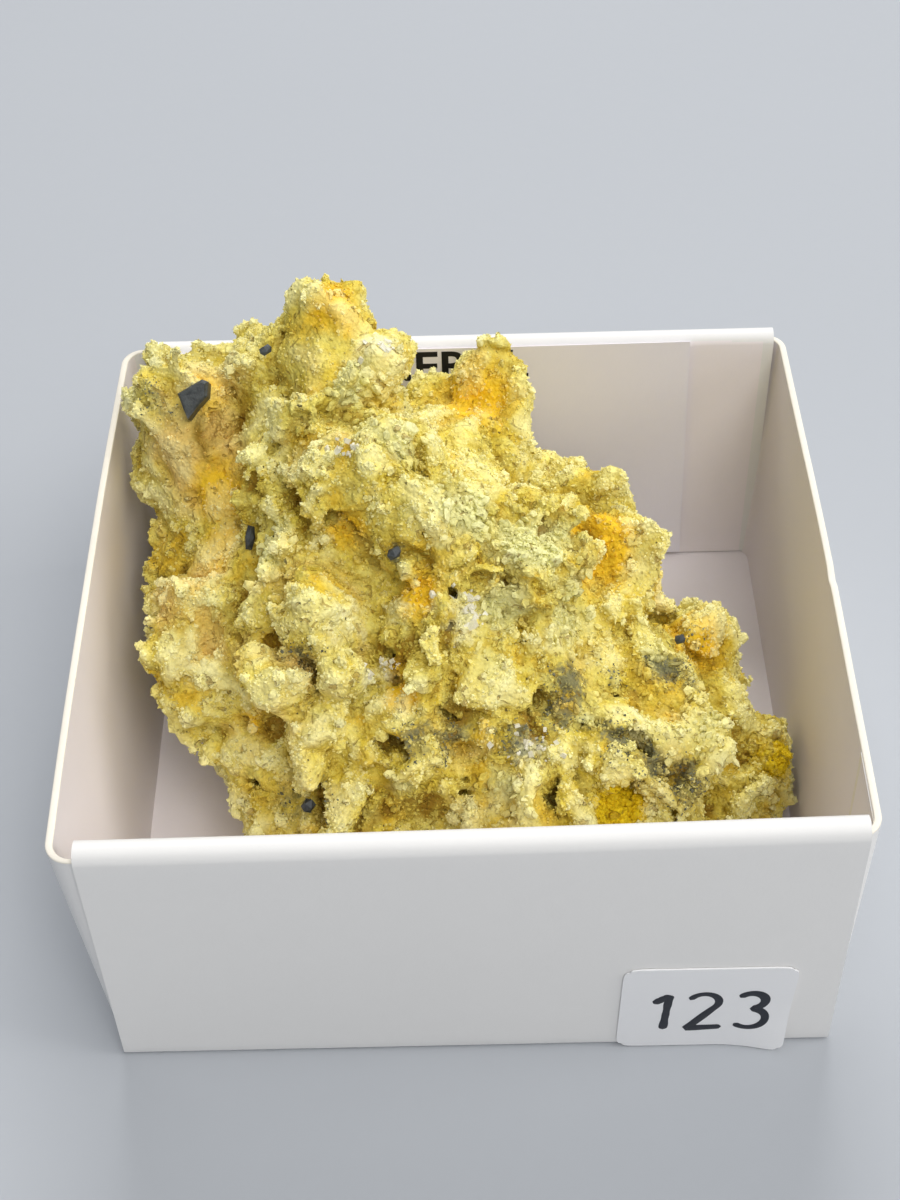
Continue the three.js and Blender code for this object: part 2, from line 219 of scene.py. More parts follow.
def newGroup(name, inputs, outputs):
    group = bpy.data.node_groups.new(name, "ShaderNodeTree")
    for socketName, value in inputs.items():
        socket = group.interface.new_socket(socketName, in_out="INPUT", socket_type="NodeSocketFloat")
        socket.default_value = value
    for socketName in outputs:
        group.interface.new_socket(socketName, in_out="OUTPUT", socket_type="NodeSocketFloat")
    return group, group.nodes.new("NodeGroupInput"), group.nodes.new("NodeGroupOutput")


def useGroup(tree, group, **inputs):
    node = addNode(tree, "Group", node_tree=group)
    for key, value in inputs.items():
        node.inputs[key].default_value = value
    return node.outputs


def newMaterial(name, roughness, **fixed):
    material = bpy.data.materials.new(name)
    material.use_nodes = True
    shader = material.node_tree.nodes["Principled BSDF"]
    shader.inputs["Roughness"].default_value = roughness
    for socket, value in fixed.items():
        shader.inputs[socket.replace("_", " ")].default_value = value
    return material, material.node_tree, shader


def scaledVector(group, start):
    inputs = {0: objectVector(group), 3: start.outputs["Scale"]}
    return addNode(group, "VectorMath", inputs, operation="SCALE").outputs[0]


# Paper fibre. Height: fine noise plus broader flecks. Tone: flecks and clouds about 1.
def makePaperGroup():
    group, start, end = newGroup("paper fibre", {"Scale": 1.0, "Spread": 0.03}, ("Height", "Tone"))
    scaled = scaledVector(group, start)
    fine = noiseValue(group, scaled, 5200, 4, 0.6)
    fleck = noiseValue(group, scaled, 900, 3, 0.55, 1.2)
    cloud = noiseValue(group, scaled, 70, 2)
    height = combine(group, "ADD", fine, combine(group, "MULTIPLY", fleck, 0.8))
    clouded = combine(group, "MULTIPLY", cloud, 0.6)
    mixed = combine(group, "ADD", combine(group, "MULTIPLY", fleck, 0.4), clouded)
    spread = combine(group, "MULTIPLY", combine(group, "SUBTRACT", mixed, 0.5), start.outputs["Spread"])
    group.links.new(height, end.inputs["Height"])
    group.links.new(combine(group, "ADD", 1.0, spread), end.inputs["Tone"])
    return group


# Sugary grain. Two sizes of cell: height falls away from each cell's middle, tone is the cell's own.
def makeGrainGroup():
    group, start, end = newGroup("sugar grain", {"Scale": 1.0}, ("Height", "Tone"))
    inputs = {"Vector": scaledVector(group, start)}
    depths, tones = [], []
    for scale, weight in ((4200.0, 1.0), (1700.0, 1.5)):
        cells = addNode(group, "TexVoronoi", inputs | {"Scale": scale}).outputs
        depths.append(combine(group, "MULTIPLY", cells["Distance"], weight))
        tones.append(addNode(group, "SeparateColor", {0: cells["Color"]}).outputs[0])
    tone = combine(group, "MULTIPLY", combine(group, "ADD", *tones), 0.5)
    group.links.new(combine(group, "SUBTRACT", 1.0, combine(group, "ADD", *depths)), end.inputs["Height"])
    group.links.new(tone, end.inputs["Tone"])
    return group


paperFibre = makePaperGroup()
sugarGrain = makeGrainGroup()


# Olive, deep and cream also paint light and shade on the crust: olive and deep as painted shade in creases,
# pits and pores, cream as painted light on crumb tops, amber as painted light bounced in hollows.
crustColours = {
    "olive": (0.45, 0.295, 0.016),
    "sulphur": (0.76, 0.595, 0.058),
    "pale": (0.85, 0.755, 0.20),
    "cream": (0.94, 0.90, 0.47),
    "amber": (0.86, 0.58, 0.04),
    "beige": (0.86, 0.60, 0.19),
    "orange": (0.93, 0.585, 0.016),
    "deep": (0.36, 0.20, 0.012),
    "mustard": (0.76, 0.54, 0.006),
    "green": (0.78, 0.765, 0.36),
    "grit": (0.17, 0.17, 0.095),
    "chalk": (0.93, 0.90, 0.52),
    "speck": (0.05, 0.04, 0.02),
}
# Each painted patch: noise scale, how far the noise pushes its edge, how soft the edge is, how strong.
crustPatches = {
    "beige": (300, 0.7, 0.35, 0.8),
    "orange": (380, 0.9, 0.4, 0.95),
    "green": (420, 0.8, 0.3, 0.8),
    "mustard": (900, 0.8, 0.25, 1.0),
    "chalk": (1000, 1.1, 0.35, 0.8),
    "grit": (1600, 1.7, 0.35, 0.85),
}


# Crust colour, in layers on sulphur: pale by noise, beige in broad fields, amber in half-deep hollows as
# painted bounced light, an olive mottle off the crumb tops, partly the crust's own mottle and partly painted
# shade, the painted patches, each where patch value + reach * noise passes a threshold, then after the orange
# painted light as cream on the tops and painted shade as olive in the creases, then painted shade as deep
# brown in pits and pores, and specks.
# The tone is then raised on crests and lowered in creases, again painted light and shade.
def crustMaterial():
    material, tree, shader = newMaterial("bilinite crust", 0.8, Specular_IOR_Level=0.3)
    vector = objectVector(tree)
    grain = useGroup(tree, sugarGrain, Scale=1.0)
    crest = attributeValue(tree, "crest")
    warm = remap(tree, noiseValue(tree, vector, 260, 4, 0.6, 0.4), 0.5, 0.62)
    mottle = remap(tree, noiseValue(tree, vector, 1050, 4, 0.72, 0.6), 0.47, 0.62, 0, 0.65)
    pores = remap(tree, noiseValue(tree, vector, 1350, 2, 0.55, 0.8), 0.635, 0.69)
    layers = [
        ("pale", remap(tree, noiseValue(tree, vector, 430, 5, 0.65, 0.8), 0.34, 0.66)),
        ("beige", remap(tree, noiseValue(tree, vector, 150, 5, 0.65, 0.6), 0.54, 0.7, 0, 0.5)),
        # amber: painted light bounced in half-deep hollows
        ("amber", combine(tree, "MULTIPLY", remap(tree, crest, 0.6, 0.3), warm)),
        # olive: the crust's own mottle, kept off the crumb tops as painted shade
        ("olive", combine(tree, "MULTIPLY", mottle, remap(tree, crest, 0.8, 0.4))),
    ]
    for name, (scale, reach, soft, strength) in crustPatches.items():
        wobble = combine(tree, "MULTIPLY", noiseValue(tree, vector, scale, 4, 0.65, 0.5), reach)
        edge = 0.3 + 0.5 * reach
        value = combine(tree, "ADD", attributeValue(tree, name), wobble)
        mask = remap(tree, value, edge, edge + soft, 0, strength)
        if name == "grit":
            mask = combine(tree, "MULTIPLY", mask, remap(tree, crest, 0.74, 0.4))
        layers.append((name, mask))
        if name == "orange":
            # painted light: cream on crumb tops; painted shade: olive in creases
            layers.append(("cream", remap(tree, crest, 0.50, 0.90, 0, 0.8)))
            layers.append(("olive", remap(tree, crest, 0.38, 0.08, 0, 0.7)))
    # painted shade: deep brown in pits, and in the pores below
    layers.append(("deep", remap(tree, crest, 0.24, 0.04, 0, 0.85)))
    layers.append(("deep", combine(tree, "MULTIPLY", pores, 0.55)))
    layers.append(("speck", remap(tree, noiseValue(tree, vector, 2100, 2, 0.5), 0.735, 0.76, 0, 0.85)))
    base = (*crustColours["sulphur"], 1)
    for name, mask in layers:
        base = blendColour(tree, mask, base, (*crustColours[name], 1))
    tone = combine(tree, "ADD", grain["Tone"], attributeValue(tree, "shade"))
    # painted light and shade: the tone rises on crests and falls in creases
    lit = remap(tree, crest, 0.1, 0.75, 0.89, 1.04)
    tone = combine(tree, "MULTIPLY", remap(tree, tone, 0.3, 1.7, 0.84, 1.12), lit)
    rough = remap(tree, grain["Tone"], 0, 1, 0.95, 0.55)
    height = combine(tree, "SUBTRACT", grain["Height"], pores)
    finishShader(tree, shader, tinted(tree, base, tone), rough, height, 0.12, 0.9)
    return material


# Coated card, paper or ink: one colour, clouded a little, with a fine fibre.
def paperMaterial(name, colour, spread, roughness, scale, bump):
    material, tree, shader = newMaterial(name, roughness, Specular_IOR_Level=0.35)
    fibre = useGroup(tree, paperFibre, Scale=scale, Spread=spread)
    rough = remap(tree, fibre["Height"], 0.4, 1.4, roughness - 0.06, roughness + 0.1)
    toned = tinted(tree, (*colour, 1), fibre["Tone"])
    finishShader(tree, shader, toned, rough, fibre["Height"], bump, 0.5)
    return material


# Chips: two colours by noise, roughness and a small bump from the same noise.
def chipMaterial(name, dark, light, scale, roughness, coat=0.0):
    material, tree, shader = newMaterial(name, roughness, Coat_Weight=coat)
    mix = remap(tree, noiseValue(tree, objectVector(tree), scale, 5, 0.65), 0.35, 0.7)
    rough = remap(tree, mix, 0, 1, roughness, roughness + 0.25)
    finishShader(tree, shader, blendColour(tree, mix, (*dark, 1), (*light, 1)), rough, mix, 0.05, 0.6)
    return material


crust = crustMaterial()
lignite = chipMaterial("lignite", (0.02, 0.024, 0.026), (0.075, 0.085, 0.085), 1800, 0.4)
greyGrit = chipMaterial("grey grit", (0.07, 0.07, 0.045), (0.30, 0.30, 0.19), 1500, 0.6)
clearCrystal = chipMaterial("white crystal", (0.66, 0.63, 0.46), (0.93, 0.90, 0.75), 900, 0.3, 0.2)
trayCard = paperMaterial("white tray card", (0.80, 0.79, 0.775), 0.05, 0.5, 1.0, 0.012)
trayInside = paperMaterial("tray card inside", (0.87, 0.815, 0.83), 0.06, 0.6, 1.0, 0.014)
rawEdge = paperMaterial("cut card edge", (0.84, 0.79, 0.69), 0.22, 0.85, 1.4, 0.03)
slipPaper = paperMaterial("name slip paper", (0.85, 0.82, 0.88), 0.05, 0.65, 1.2, 0.012)
stickerPaper = paperMaterial("sticker paper", (0.84, 0.84, 0.85), 0.04, 0.42, 1.3, 0.008)
printInk = paperMaterial("printed ink", (0.012, 0.012, 0.014), 0.4, 0.5, 1.5, 0.006)
penInk = paperMaterial("pen ink", (0.016, 0.019, 0.028), 0.6, 0.4, 1.5, 0.006)
floorPaint = paperMaterial("floor", (0.42, 0.44, 0.47), 0.06, 0.7, 0.2, 0.01)
print("finishes made")


def straight(first, last, count):
    share = np.linspace(0, 1, count)[:, None]
    return np.asarray(first, float) * (1 - share) + np.asarray(last, float) * share


def arc(centre, radius, start, end, count):
    angle = np.radians(np.linspace(start, end, count))
    return np.stack([centre[0] + radius * np.cos(angle), centre[1] + radius * np.sin(angle)], -1)


# A sheet's section: its middle line pushed half a thickness to both sides along the line's normal.
def sheetOutline(line, thickness):
    step = np.gradient(line, axis=0)
    normal = np.stack([-step[:, 1], step[:, 0]], -1) / np.linalg.norm(step, axis=1)[:, None]
    push = normal * np.broadcast_to(thickness, len(line))[:, None] / 2
    return np.concatenate([line + push, (line - push)[::-1]])


# Quads of a tube of equal rings, closed at both ends by strips between each point and the one across.
def tubeFaces(rings, around):
    i, j = np.meshgrid(np.arange(rings - 1), np.arange(around), indexing="ij")
    ring, onward = i * around, (j + 1) % around
    wall = np.stack([ring + j, ring + onward, ring + around + onward, ring + around + j], -1)
    k = np.arange(around // 2 - 1)
    cap = np.stack([k, around - 1 - k, around - 2 - k, k + 1], -1)
    return np.concatenate([wall.reshape(-1, 4), cap, (rings - 1) * around + cap[:, ::-1]])


# Turns every face over where the closed shape has a negative volume.
def outward(points, faces):
    first, *others = cornersOf(points, faces)
    volume = sum((first * np.cross(b, c)).sum() for b, c in zip(others, others[1:]))
    return faces if volume > 0 else faces[:, ::-1]


def joined(solids):
    starts = np.cumsum([0] + [len(points) for points, _ in solids[:-1]])
    faces = [faces + start for (_, faces), start in zip(solids, starts)]
    return np.concatenate([points for points, _ in solids]), np.concatenate(faces)


tray = {
    "width": 41.0,  # the rolled front and back, cut straight at both ends
    "depth": 41.0,
    "height": 20.0,
    "card": 0.4,  # the single side walls
    "pressed": 0.28,  # the same card where it is rolled over a flap
    "rolled": 0.9,  # thickness of a rolled wall at its foot
    "roll": {"front": 1.6, "back": 1.35},  # across the roll at the top, where the card springs apart
    "sideDrop": 0.7,  # side walls end this far below the rolled edges
    "lean": {"front": (0.55, 0.0), "back": (0.55, 0.55), "left": 1.3, "right": 0.45},  # pairs: its two ends
    "overhang": 0.3,  # side walls wrap just outside the ends of the panels
    "corner": 1.2,
    "flap": 6.0,
    "bend": 0.4,
    "bow": 0.12,  # how far long walls swell in the middle
    "sag": 0.05,  # how far the rolls' middle hangs
    "lift": 0.03,  # the rolls' inner layers end this far above the floor
    "foot": 0.25,  # side walls step in by this much over as much height
    "rim": {"round": 0.05, "thinned": 0.14, "wave": 0.06},  # the side walls' cut edge
    "nick": {"y": -1.5, "depth": 0.25, "width": 0.45},  # a dent in the right rim
    # the tab's last entry is how many faces wide its strip of painted shade is
    "tab": {"near": -19.3, "far": -14.4, "low": 0.5, "thickness": 0.1, "points": 12, "shadeStrip": 2},
}


# How far a rolled wall stands out at a place along it and a share of its rise: its lean runs evenly
# from one end to the other, its swell is cos along it times sin up it.
def standsOut(side, x, share):
    ends = tray["lean"][side]
    lean = ends[0] + (ends[1] - ends[0]) * (x / tray["width"] + 0.5)
    return lean * share + tray["bow"] * np.cos(x / tray["width"] * math.pi) * np.sin(share * math.pi * 0.9)


def frontFace(x, z):
    return tray["depth"] / 2 + standsOut("front", x, np.clip(z / tray["height"], 0, 1))


# One sheet from the inner layer of the front, over its roll, down, across the floor and up the back.
# Its section is carried along X; the walls lean and swell, and their tops sag a little in the middle.
def rolledSheet():
    card, bend = tray["pressed"], tray["bend"]
    low, foot = card / 2, tray["card"] + tray["lift"]
    outer = tray["depth"] / 2 - card / 2

    def half(roll):
        radius = (roll - card) / 2
        top = tray["height"] - roll / 2
        return np.concatenate([
            straight((outer - tray["rolled"] + card, foot), (outer - 2 * radius, top), 26),
            arc((outer - radius, top), radius, 180, 0, 19)[1:],
            straight((outer, top), (outer, low + bend), 26)[1:],
            arc((outer - bend, low + bend), bend, 0, -90, 7)[1:],
        ])

    front = half(tray["roll"]["front"]) * (-1, 1)
    back = half(tray["roll"]["back"])
    floor = straight((bend - outer, low), (outer - bend, low), 30)[1:-1]
    outline = sheetOutline(np.concatenate([front, floor, back[::-1]]), card)
    x = np.linspace(-tray["width"] / 2, tray["width"] / 2, 61)
    across, rise = np.meshgrid(x, outline[:, 1], indexing="ij")
    share = np.clip(rise / tray["height"], 0, 1)
    front = outline[:, 0] < 0
    out = np.where(front, standsOut("front", across, share), standsOut("back", across, share))
    y = outline[:, 0] + np.where(front, -1, 1) * out
    z = rise - tray["sag"] * np.cos(across / tray["width"] * math.pi) * share ** 4
    points = np.stack([across, y, z], -1).reshape(-1, 3)
    return points, outward(points, tubeFaces(len(x), len(outline)))


# How far a side wall's middle swells out, at places along it and a share of its rise.
def sideSwell(y, share):
    middle = np.clip(np.cos(y / tray["depth"] * math.pi), 0, 1)
    return 2.0 * tray["bow"] * middle * math.sin(share * math.pi * 0.7)


# A side wall seen from above is a line with two round corners and two flaps; rings of that outline are
# stacked up the wall while it leans and swells. Returns the solid and which faces form its cut edge.
def sideSheet(side):
    lean = tray["lean"]["left" if side < 0 else "right"]
    end = 0 if side < 0 else 1
    half, corner, card = tray["depth"] / 2, tray["corner"], tray["card"]
    inset = tray["rolled"] / 2
    rim, edge, foot = tray["height"] - tray["sideDrop"], tray["rim"]["round"], tray["foot"]
    levels = np.concatenate([[0, 0.2 * foot, 0.52 * foot, foot], np.linspace(card, rim - 2 * edge, 24),
                             [rim - edge, rim - 0.4 * edge, rim]])
    rings = []
    for z in levels:
        share = z / rim
        face = tray["width"] / 2 + tray["overhang"] - card / 2 + lean * share
        face -= foot * (1 - min(z / foot, 1)) ** 2
        front = -half - tray["lean"]["front"][end] * share + inset
        back = half + tray["lean"]["back"][end] * share - inset
        turn = face - corner
        line = np.concatenate([
            straight((turn - tray["flap"], front), (turn, front), 8),
            arc((turn, front + corner), corner, -90, 0, 12)[1:],
            straight((face, front + corner), (face, back - corner), 70)[1:],
            arc((turn, back - corner), corner, 0, 90, 12)[1:],
            straight((turn, back), (turn - tray["flap"], back), 8)[1:],
        ])
        single = np.clip((line[:, 0] - turn) / corner, 0, 1)
        ease = tray["rim"]["thinned"] * np.clip((z - rim + edge) / edge, 0, 1) ** 2
        outline = sheetOutline(line, tray["pressed"] + (card - tray["pressed"]) * single - ease)
        weight = np.concatenate([single, single[::-1]]) ** 2
        outline[:, 0] += weight * sideSwell(outline[:, 1], share)
        height = z + tray["rim"]["wave"] * np.sin(outline[:, 1] * 0.29 + side) * share ** 8 * weight
        if side > 0:
            dent = np.exp(-((outline[:, 1] - tray["nick"]["y"]) / tray["nick"]["width"]) ** 2)
            height -= tray["nick"]["depth"] * dent * share ** 30
        rings.append(np.column_stack([side * outline[:, 0], outline[:, 1], height]))
    points = np.concatenate(rings)
    around = len(rings[0])
    faces = tubeFaces(len(levels), around)
    cut = np.zeros(len(faces), int)
    cut[(len(levels) - 4) * around:(len(levels) - 1) * around] = 1
    cut[-(around // 2 - 1):] = 1
    return points, outward(points, faces), cut


# The end of an inside flap, pasted on the right wall: a thin slab that follows the wall's lean. Returns
# the solid and which faces carry painted shade, a strip along its far upright edge that stands for the
# shadow in the gap behind that edge.
def pastedTab():
    tab, rim = tray["tab"], tray["height"] - tray["sideDrop"]
    levels = np.linspace(tab["low"], rim - 0.15, 20)
    wall = tray["width"] / 2 + tray["overhang"] - tray["card"]
    around = 2 * tab["points"]
    rings = []
    for z in levels:
        line = straight((0, tab["near"]), (0, tab["far"] - 0.10 * (tray["height"] - z)), tab["points"])
        x, y = sheetOutline(line, tab["thickness"]).T
        x = x + wall + tray["lean"]["right"] * z / rim + sideSwell(y, z / tray["height"])
        rings.append(np.column_stack([x, y, np.full(around, z)]))
    points = np.concatenate(rings)
    faces = tubeFaces(len(levels), around)
    shadeStrip = np.abs(np.arange(len(faces)) % around - tab["points"] + 1) < tab["shadeStrip"]
    return points, outward(points, faces), shadeStrip


# Faces below the roll that look at the tray's middle, or up from its floor.
def inwardFaces(points, faces):
    a, b, c, d = cornersOf(points, faces)
    normal = np.cross(c - a, d - b)
    normal /= np.maximum(np.linalg.norm(normal, axis=1), 1e-9)[:, None]
    middle = (a + b + c + d) / 4
    across = np.abs(middle[:, :2]).argmax(1)
    row = np.arange(len(faces))
    toMiddle = normal[row, across] * np.sign(middle[row, across]) < -0.7
    return (toMiddle & (middle[:, 2] < tray["height"] - 0.4)) | ((normal[:, 2] > 0.7) & (middle[:, 2] < 1))


def makeTray():
    sheet = rolledSheet()
    parts = [sideSheet(-1), sideSheet(1), pastedTab()]
    points, faces = joined([sheet] + [part[:2] for part in parts])
    # finish 1, the cut edge's, also colours the tab's strip of painted shade
    finishes = np.concatenate([np.zeros(len(sheet[1]))] + [part[2] for part in parts])
    finishes[(finishes == 0) & inwardFaces(points, faces)] = 2
    materials = [trayCard, rawEdge, trayInside]
    newPiece("folded_tray", points, faces, materials, "specimen_tray", True, finishes)


makeTray()
print("tray folded")


slip = {
    "left": -19.5,
    "right": 15.0,
    "low": 0.75,
    "high": 19.92,
    "thickness": 0.05,
    "front": 19.3,  # distance of its foot from the middle of the tray
    "lean": 0.14,
    "curl": 0.12,
    "skew": 0.5,  # how much further right the lower corner stands
    "word": "MINERAL",
    "capHeight": 2.4,
    "wordMiddle": -2.2,
    "wordTop": 19.68,
    "proud": 0.004,  # how far the print stands off the paper, and half its thickness
}


# The slip's front face: it leans back with the wall and curls by a half sine across its width.
def slipFace(x, z):
    share = (z - slip["low"]) / (slip["high"] - slip["low"])
    across = (x - slip["left"]) / (slip["right"] - slip["left"])
    return slip["front"] + slip["lean"] * share - slip["curl"] * np.sin(across * math.pi) * share


# A sheet from the grid of its front face: the same grid again behind it, and strips round the edge.
def sheetSolid(x, y, z, thickness):
    front = np.stack([x, y, z], -1)
    rows, columns = x.shape
    grid = np.arange(rows * columns).reshape(rows, columns)
    near = np.stack([grid[:-1, :-1], grid[:-1, 1:], grid[1:, 1:], grid[1:, :-1]], -1).reshape(-1, 4)
    rim = np.concatenate([grid[0, :-1], grid[:-1, -1], grid[-1, :0:-1], grid[:0:-1, 0]])
    onward = np.roll(rim, -1)
    far = grid.size
    edge = np.stack([onward, rim, rim + far, onward + far], -1)
    points = np.concatenate([front, front + (0, thickness, 0)]).reshape(-1, 3)
    faces = np.concatenate([near, near[:, ::-1] + far, edge])
    return points, outward(points, faces)


def makeSlip():
    u, v = np.meshgrid(np.linspace(0, 1, 41), np.linspace(0, 1, 25), indexing="ij")
    z = slip["low"] + (slip["high"] - slip["low"]) * v
    x = slip["left"] + (slip["right"] + slip["skew"] * (1 - v) - slip["left"]) * u
    points, faces = sheetSolid(x, slipFace(x, z), z, slip["thickness"])
    newPiece("name_slip", points, faces, [slipPaper], "name_label", smooth=True)


# Printed capitals: a font's filled outline made a mesh, its doubles merged, then laid on the slip.
def makePrint():
    curve = bpy.data.curves.new("capitals", "FONT")
    curve.body = slip["word"]
    curve.extrude = slip["proud"]
    curve.offset = 0.018
    curve.resolution_u = 6
    points, triangles = readOff(placed("capitals", curve))
    bpy.data.curves.remove(curve)
    points, place = np.unique(points.round(5), axis=0, return_inverse=True)
    triangles = place.reshape(-1)[triangles]
    low, high = points.min(0), points.max(0)
    scale = slip["capHeight"] / (high[1] - low[1])
    x = slip["wordMiddle"] + (points[:, 0] - (low[0] + high[0]) / 2) * scale
    z = slip["wordTop"] + (points[:, 1] - high[1]) * scale
    y = slipFace(x, z) - points[:, 2] * scale - slip["proud"]
    distinct = (np.diff(np.sort(triangles, 1), axis=1) > 0).all(1)
    newPiece("slip_print", np.stack([x, y, z], -1), triangles[distinct], [printInk])


sticker = {
    "topLeft": (8.27, 8.24),  # x and z of its corners
    "topRight": (18.11, 8.01),
    "lowLeft": (8.12, 0.12),
    "lowRight": (17.75, 0.10),
    "gap": 0.03,
    "thickness": 0.10,
    "curl": 0.75,  # how far its lower right corner stands off
    "curlFrom": (13.6, 4.6),  # x and z where that starts
    "curlReach": (4.3, 4.6),
    "round": 0.35,
    "inkDepth": 0.02,
}
pen = {"half": 0.25, "swell": 0.035, "tremble": 0.012}


# The sticker's outer face: flat on the panel, with a corner that lifts by the square of its nearness.
def stickerFace(x, z):
    (right, high), (width, rise) = sticker["curlFrom"], sticker["curlReach"]
    near = np.clip((x - right) / width, 0, 1) * np.clip((high - z) / rise, 0, 1)
    lift = sticker["gap"] + sticker["thickness"] + sticker["curl"] * near ** 2
    return -(frontFace(x, z) + lift)


# Corners are blended over a square grid whose own corners are drawn in a little, to round them.
def makeSticker():
    u, v = np.meshgrid(np.linspace(0, 1, 45), np.linspace(0, 1, 37), indexing="ij")
    pull = sticker["round"] / 9 * (np.abs(2 * u - 1) * np.abs(2 * v - 1)) ** 14
    u = u + pull * np.sign(0.5 - u)
    v = v + pull * np.sign(0.5 - v)
    corner = [np.array(sticker[key]) for key in ("lowLeft", "lowRight", "topRight", "topLeft")]
    weights = [(1 - u) * (1 - v), u * (1 - v), u * v, (1 - u) * v]
    place = sum(weight[..., None] * point for weight, point in zip(weights, corner))
    x, z = place[..., 0], place[..., 1]
    points, faces = sheetSolid(x, stickerFace(x, z), z, sticker["thickness"])
    newPiece("number_slip", points, faces, [stickerPaper], "number_sticker", smooth=True)


# Strokes of the written number as x and z on the panel: lines and arcs.
def penStrokes():
    one = straight((10.1, 4.75), (10.95, 5.6), 8)
    oneDown = straight((10.95, 5.6), (10.75, 1.95), 18)
    two = [arc((12.95, 4.75), 0.85, 160, -35, 18), straight((13.62, 4.25), (12.1, 2.0), 14)[1:],
           straight((12.1, 2.0), (14.1, 2.1), 12)[1:]]
    three = [arc((15.65, 4.75), 0.78, 150, -75, 18), arc((15.6, 2.98), 0.95, 80, -145, 22)[1:]]
    return [one, oneDown, np.concatenate(two), np.concatenate(three)]


# A flat ribbon of ink on the sticker, whose half width swells and thins slowly and ends round.
def penStroke(line, seed):
    steps = np.linalg.norm(np.diff(line, axis=0), axis=1)
    length = np.concatenate([[0], np.cumsum(steps)])
    share = np.linspace(0, 1, 60)
    path = np.stack([np.interp(share * length[-1], length, line[:, n]) for n in (0, 1)], -1)
    along = np.gradient(path, axis=0)
    along /= np.linalg.norm(along, axis=1)[:, None]
    normal = np.stack([-along[:, 1], along[:, 0]], -1)
    toEnd = np.minimum(share, 1 - share) * length[-1]
    half = pen["half"] + pen["swell"] * np.sin(share * 5 + seed * 2.1)
    half += pen["tremble"] * np.sin(share * 23 + seed)
    half *= np.sqrt(np.clip(1 - (1 - np.clip(toEnd / pen["half"], 0.02, 1)) ** 2, 0, 1))
    across = np.array([-1, -0.6, 0, 0.6, 1, 0.6, 0, -0.6])
    raised = np.array([0.4, 0.9, 1, 0.9, 0.4, 0, 0, 0])
    flat = path[:, None] + normal[:, None] * across[:, None] * half[:, None, None]
    x, z = flat[..., 0], flat[..., 1]
    y = stickerFace(x, z) - sticker["inkDepth"] * raised
    points = np.stack([x, y, z], -1).reshape(-1, 3)
    return points, outward(points, tubeFaces(len(share), len(across)))


def makeNumber():
    points, faces = joined([penStroke(line, seed) for seed, line in enumerate(penStrokes())])
    newPiece("number_ink", points, faces, [penInk], smooth=True)


makeSlip()
makePrint()
makeSticker()
makeNumber()
print("paper slips made")


# The lump's lobes, each from a point to a point with a radius at each end.
lobes = {
    "belly": ((-6.5, -0.5, 10), (2, -1, 9.3), 8.6, 7.8),
    "frontFoot": ((-5.5, -6, 6.5), (6, -6.8, 6.2), 6.4, 6.0),
    "frontCrust": ((-6.4, -5.4, 10.8), (3.0, -6.2, 9.6), 5.0, 4.8),
    "leftFoot": ((-7.6, -5, 6.5), (-8.6, -3, 13), 4.2, 4.4),
    "leftCrust": ((-8.8, -1.4, 15.4), (-7.6, 2.0, 19.4), 4.5, 4.2),
    "middleCrust": ((-2.8, -2.0, 15.4), (0.6, 0.6, 16.8), 4.6, 4.2),
    "centreCrust": ((-6.8, -1.6, 17.4), (-1.6, -2.4, 16.4), 4.3, 4.2),
    "midLobe": ((-8.2, 4, 14), (-7.8, 6.8, 21.4), 5.4, 4.9),
    "peak": ((-7.6, 9.8, 22), (-7.4, 13.2, 28.6), 4.6, 1.4),
    "peakSpur": ((-7.0, 10, 24), (-5.4, 11.0, 24.4), 2.7, 1.4),
    "nose": ((-6, 4.2, 20), (-6.2, 3.6, 22.8), 4.2, 3.2),
    "ridge": ((-3.0, 3.4, 20.4), (3.7, 1.2, 19.0), 4.1, 2.6),
    "leftShoulder": ((-10.5, 10, 19), (-10.8, 11.6, 23.8), 3.8, 3.0),
    "saddle": ((-4, 10, 16), (-0.5, 10.6, 15.8), 6.0, 4.8),
    "back": ((-8, 10, 9), (0, 10.5, 9), 8.0, 7.0),
    "leftUpper": ((-13.8, 9.5, 13.4), (-16.6, 12.2, 20.4), 4.8, 4.2),
    "leftMid": ((-13.5, 5.5, 9), (-14.4, 5.0, 12), 4.6, 4.2),
    "leftBulge": ((-12.6, 1.0, 10.6), (-16.6, 0.5, 12.9), 4.2, 3.4),
    "leftLow": ((-11.5, -2.4, 7.2), (-12.9, -2.6, 9.4), 4.2, 3.5),
    "rightFlank": ((6, 0, 9), (10.2, -2, 8.1), 6.8, 6.0),
    "rightCrust": ((6.2, -3.0, 11.0), (9.8, -3.6, 9.6), 4.6, 4.4),
    "rightLobe": ((13.5, -3.5, 4.6), (17.1, -3.2, 5.0), 4.6, 3.6),
    "rightLow": ((10, -7.5, 4.6), (13.5, -7.2, 4), 5.2, 3.7),
    "rearRidgeA": ((1, 10.8, 11), (5.6, 7.5, 11.5), 5.2, 4.5),
    "rearRidgeB": ((7.0, 6.6, 10.8), (12.4, 1.4, 7.8), 4.5, 3.7),
    "knob": ((7.0, 8.0, 15.2), (8.8, 8.0, 17.2), 2.4, 1.0),
    "orangeLump": ((7.4, 4.6, 14.0), (8.1, 4.2, 16.0), 2.6, 2.1),
    "rightKnob": ((11.4, 1.2, 8.0), (11.8, 0.6, 8.4), 2.6, 2.3),
    "horn": ((0.3, 12.5, 15.2), (3.0, 15.2, 21.4), 2.5, 1.1),
}
